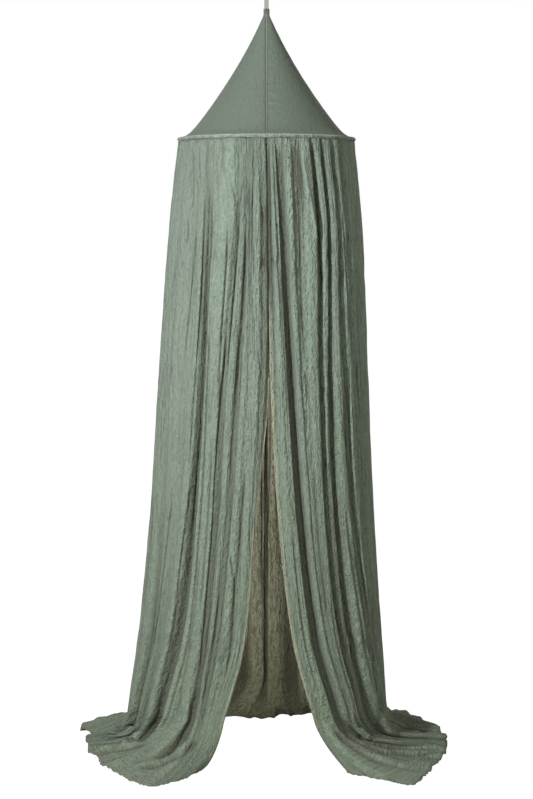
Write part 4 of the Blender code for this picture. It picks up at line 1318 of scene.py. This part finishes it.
def casing():
    middle = 0.5 * (CASING_INSIDE + CASING_OUTSIDE)
    opening = math.radians(CASING_SLIT)
    round_rod = np.linspace(0.0, 1.0, CASING_ROUND + 1)
    section = np.pi - 0.5 * opening - (2.0 * np.pi - opening) * round_rod
    turn = np.linspace(0.0, 2.0 * np.pi, CASING_STEPS + 1)
    turns, angles = np.meshgrid(turn, section)
    ripple = np.zeros_like(turns)
    for row in range(turns.shape[0]):
        for column in range(turns.shape[1]):
            place = turns[row, column], angles[row, column]
            close = CLOSE_SHARE * gathered(CLOSE_GATHERS, *place)
            ripple[row, column] = gathered(BROAD_GATHERS, *place) + close
    ripple *= np.clip(np.cos(angles), 0.0, 1.0) ** 0.5 * CASING_RIPPLE
    radius = middle + ripple
    away = HOOP_RADIUS + radius * np.cos(angles)
    x, y = -away * np.sin(turns), -away * np.cos(turns)
    z = HOOP_HEIGHT - HOOK_HEIGHT + radius * np.sin(angles)
    points = np.stack([x, y, z], axis=-1)
    # painted shade on the rod's lower front and under it, and over its top behind
    under = 1.0 - smooth_step((np.degrees(angles) - UNDER_FROM) / UNDER_OVER)
    over = smooth_step((np.degrees(angles) - OVER_FROM) / OVER_OVER)
    layers = {"groove": UNDER_SHADE * under + OVER_SHADE * over - RIPPLE_SHADE * ripple}
    piece = sheet_mesh("casing_cloth", points, turns * HOOP_RADIUS, angles * middle, layers,
                       CASING_CLOTH, lit_casing_muslin)
    form = bmesh.new()
    form.from_mesh(piece.data)
    bmesh.ops.remove_doubles(form, verts=form.verts, dist=0.00001)
    form.to_mesh(piece.data)
    form.free()
    return piece


sleeve = casing()
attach(sleeve, "root")
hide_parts("hoop_casing")
print(f"casing: {area_of(sleeve):.4f} square metres")

# %% [markdown]
# ## The hanging loop
#
# A length of tape is doubled over. Its two layers lie together down to the roof's tip and part at
# the top in a long eye for the hook. It is a ribbon swept along that path, with its edges a little
# thicker than its middle, as a selvedge is.

# %% Hanging loop
TAPE_WIDTH = 0.015
TAPE_THICKNESS = 0.0015
EYE_LENGTH = 0.030
EYE_WIDTH = 0.009
TAPE_TAIL = 0.075
EYE_WIDEST = 0.75  # share of the eye's length, from below
SELVEDGE_FROM, SELVEDGE_EASE = 0.38, 0.1  # shares of the tape's width from its middle
TAPE_ROWS, TAPE_COLUMNS = 120, 10


def tape_loop():
    """The tape's middle line, down one layer, round the eye and down the other."""
    half_gap = 0.5 * TAPE_THICKNESS + 0.00005

    def half_eye(share):
        if share < EYE_WIDEST:
            return 0.5 * EYE_WIDTH * float(smooth_step(share / EYE_WIDEST))
        over = (share - EYE_WIDEST) / (1.0 - EYE_WIDEST)
        return 0.5 * EYE_WIDTH * math.sqrt(max(0.0, 1.0 - over**2))

    side = [(half_gap, z) for z in np.linspace(-TAPE_TAIL, -EYE_LENGTH * 1.05, 14)]
    for share in np.linspace(0.02, 0.97, 30):
        side.append((half_gap + half_eye(share), EYE_LENGTH * (share - 1.0)))
    side.append((half_gap * 1.6, 0.4 * half_gap))
    line = side + [(0.0, 0.8 * half_gap)] + [(-y, z) for y, z in reversed(side)]
    steps = [math.dist(a, b) for a, b in zip(line, line[1:])]
    reached = np.concatenate([[0.0], np.cumsum(steps)])
    at = np.linspace(0.0, reached[-1], TAPE_ROWS + 1)
    across = np.interp(at, reached, [y for y, _ in line])
    up = np.interp(at, reached, [z for _, z in line])
    spread = np.linspace(-0.5, 0.5, TAPE_COLUMNS + 1) * TAPE_WIDTH
    x = np.repeat(spread[None, :], len(at), axis=0)
    y = np.repeat(across[:, None], len(spread), axis=1)
    z = np.repeat(up[:, None], len(spread), axis=1)
    points = np.stack([x, y, z], axis=-1)
    along = np.repeat(at[:, None], len(spread), axis=1)
    selvedge = smooth_step((np.abs(spread) / TAPE_WIDTH - SELVEDGE_FROM) / SELVEDGE_EASE)
    edge = np.repeat(selvedge[None, :], len(at), axis=0)
    return sheet_mesh("loop_tape", points, x + 0.5 * TAPE_WIDTH, along, {"hem": edge},
                      TAPE_THICKNESS * 0.92, tape_twill), reached[-1]


loop, tape_length = tape_loop()
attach(loop, "root")
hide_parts("hanging_loop")
print(f"tape: {tape_length:.3f} m long")
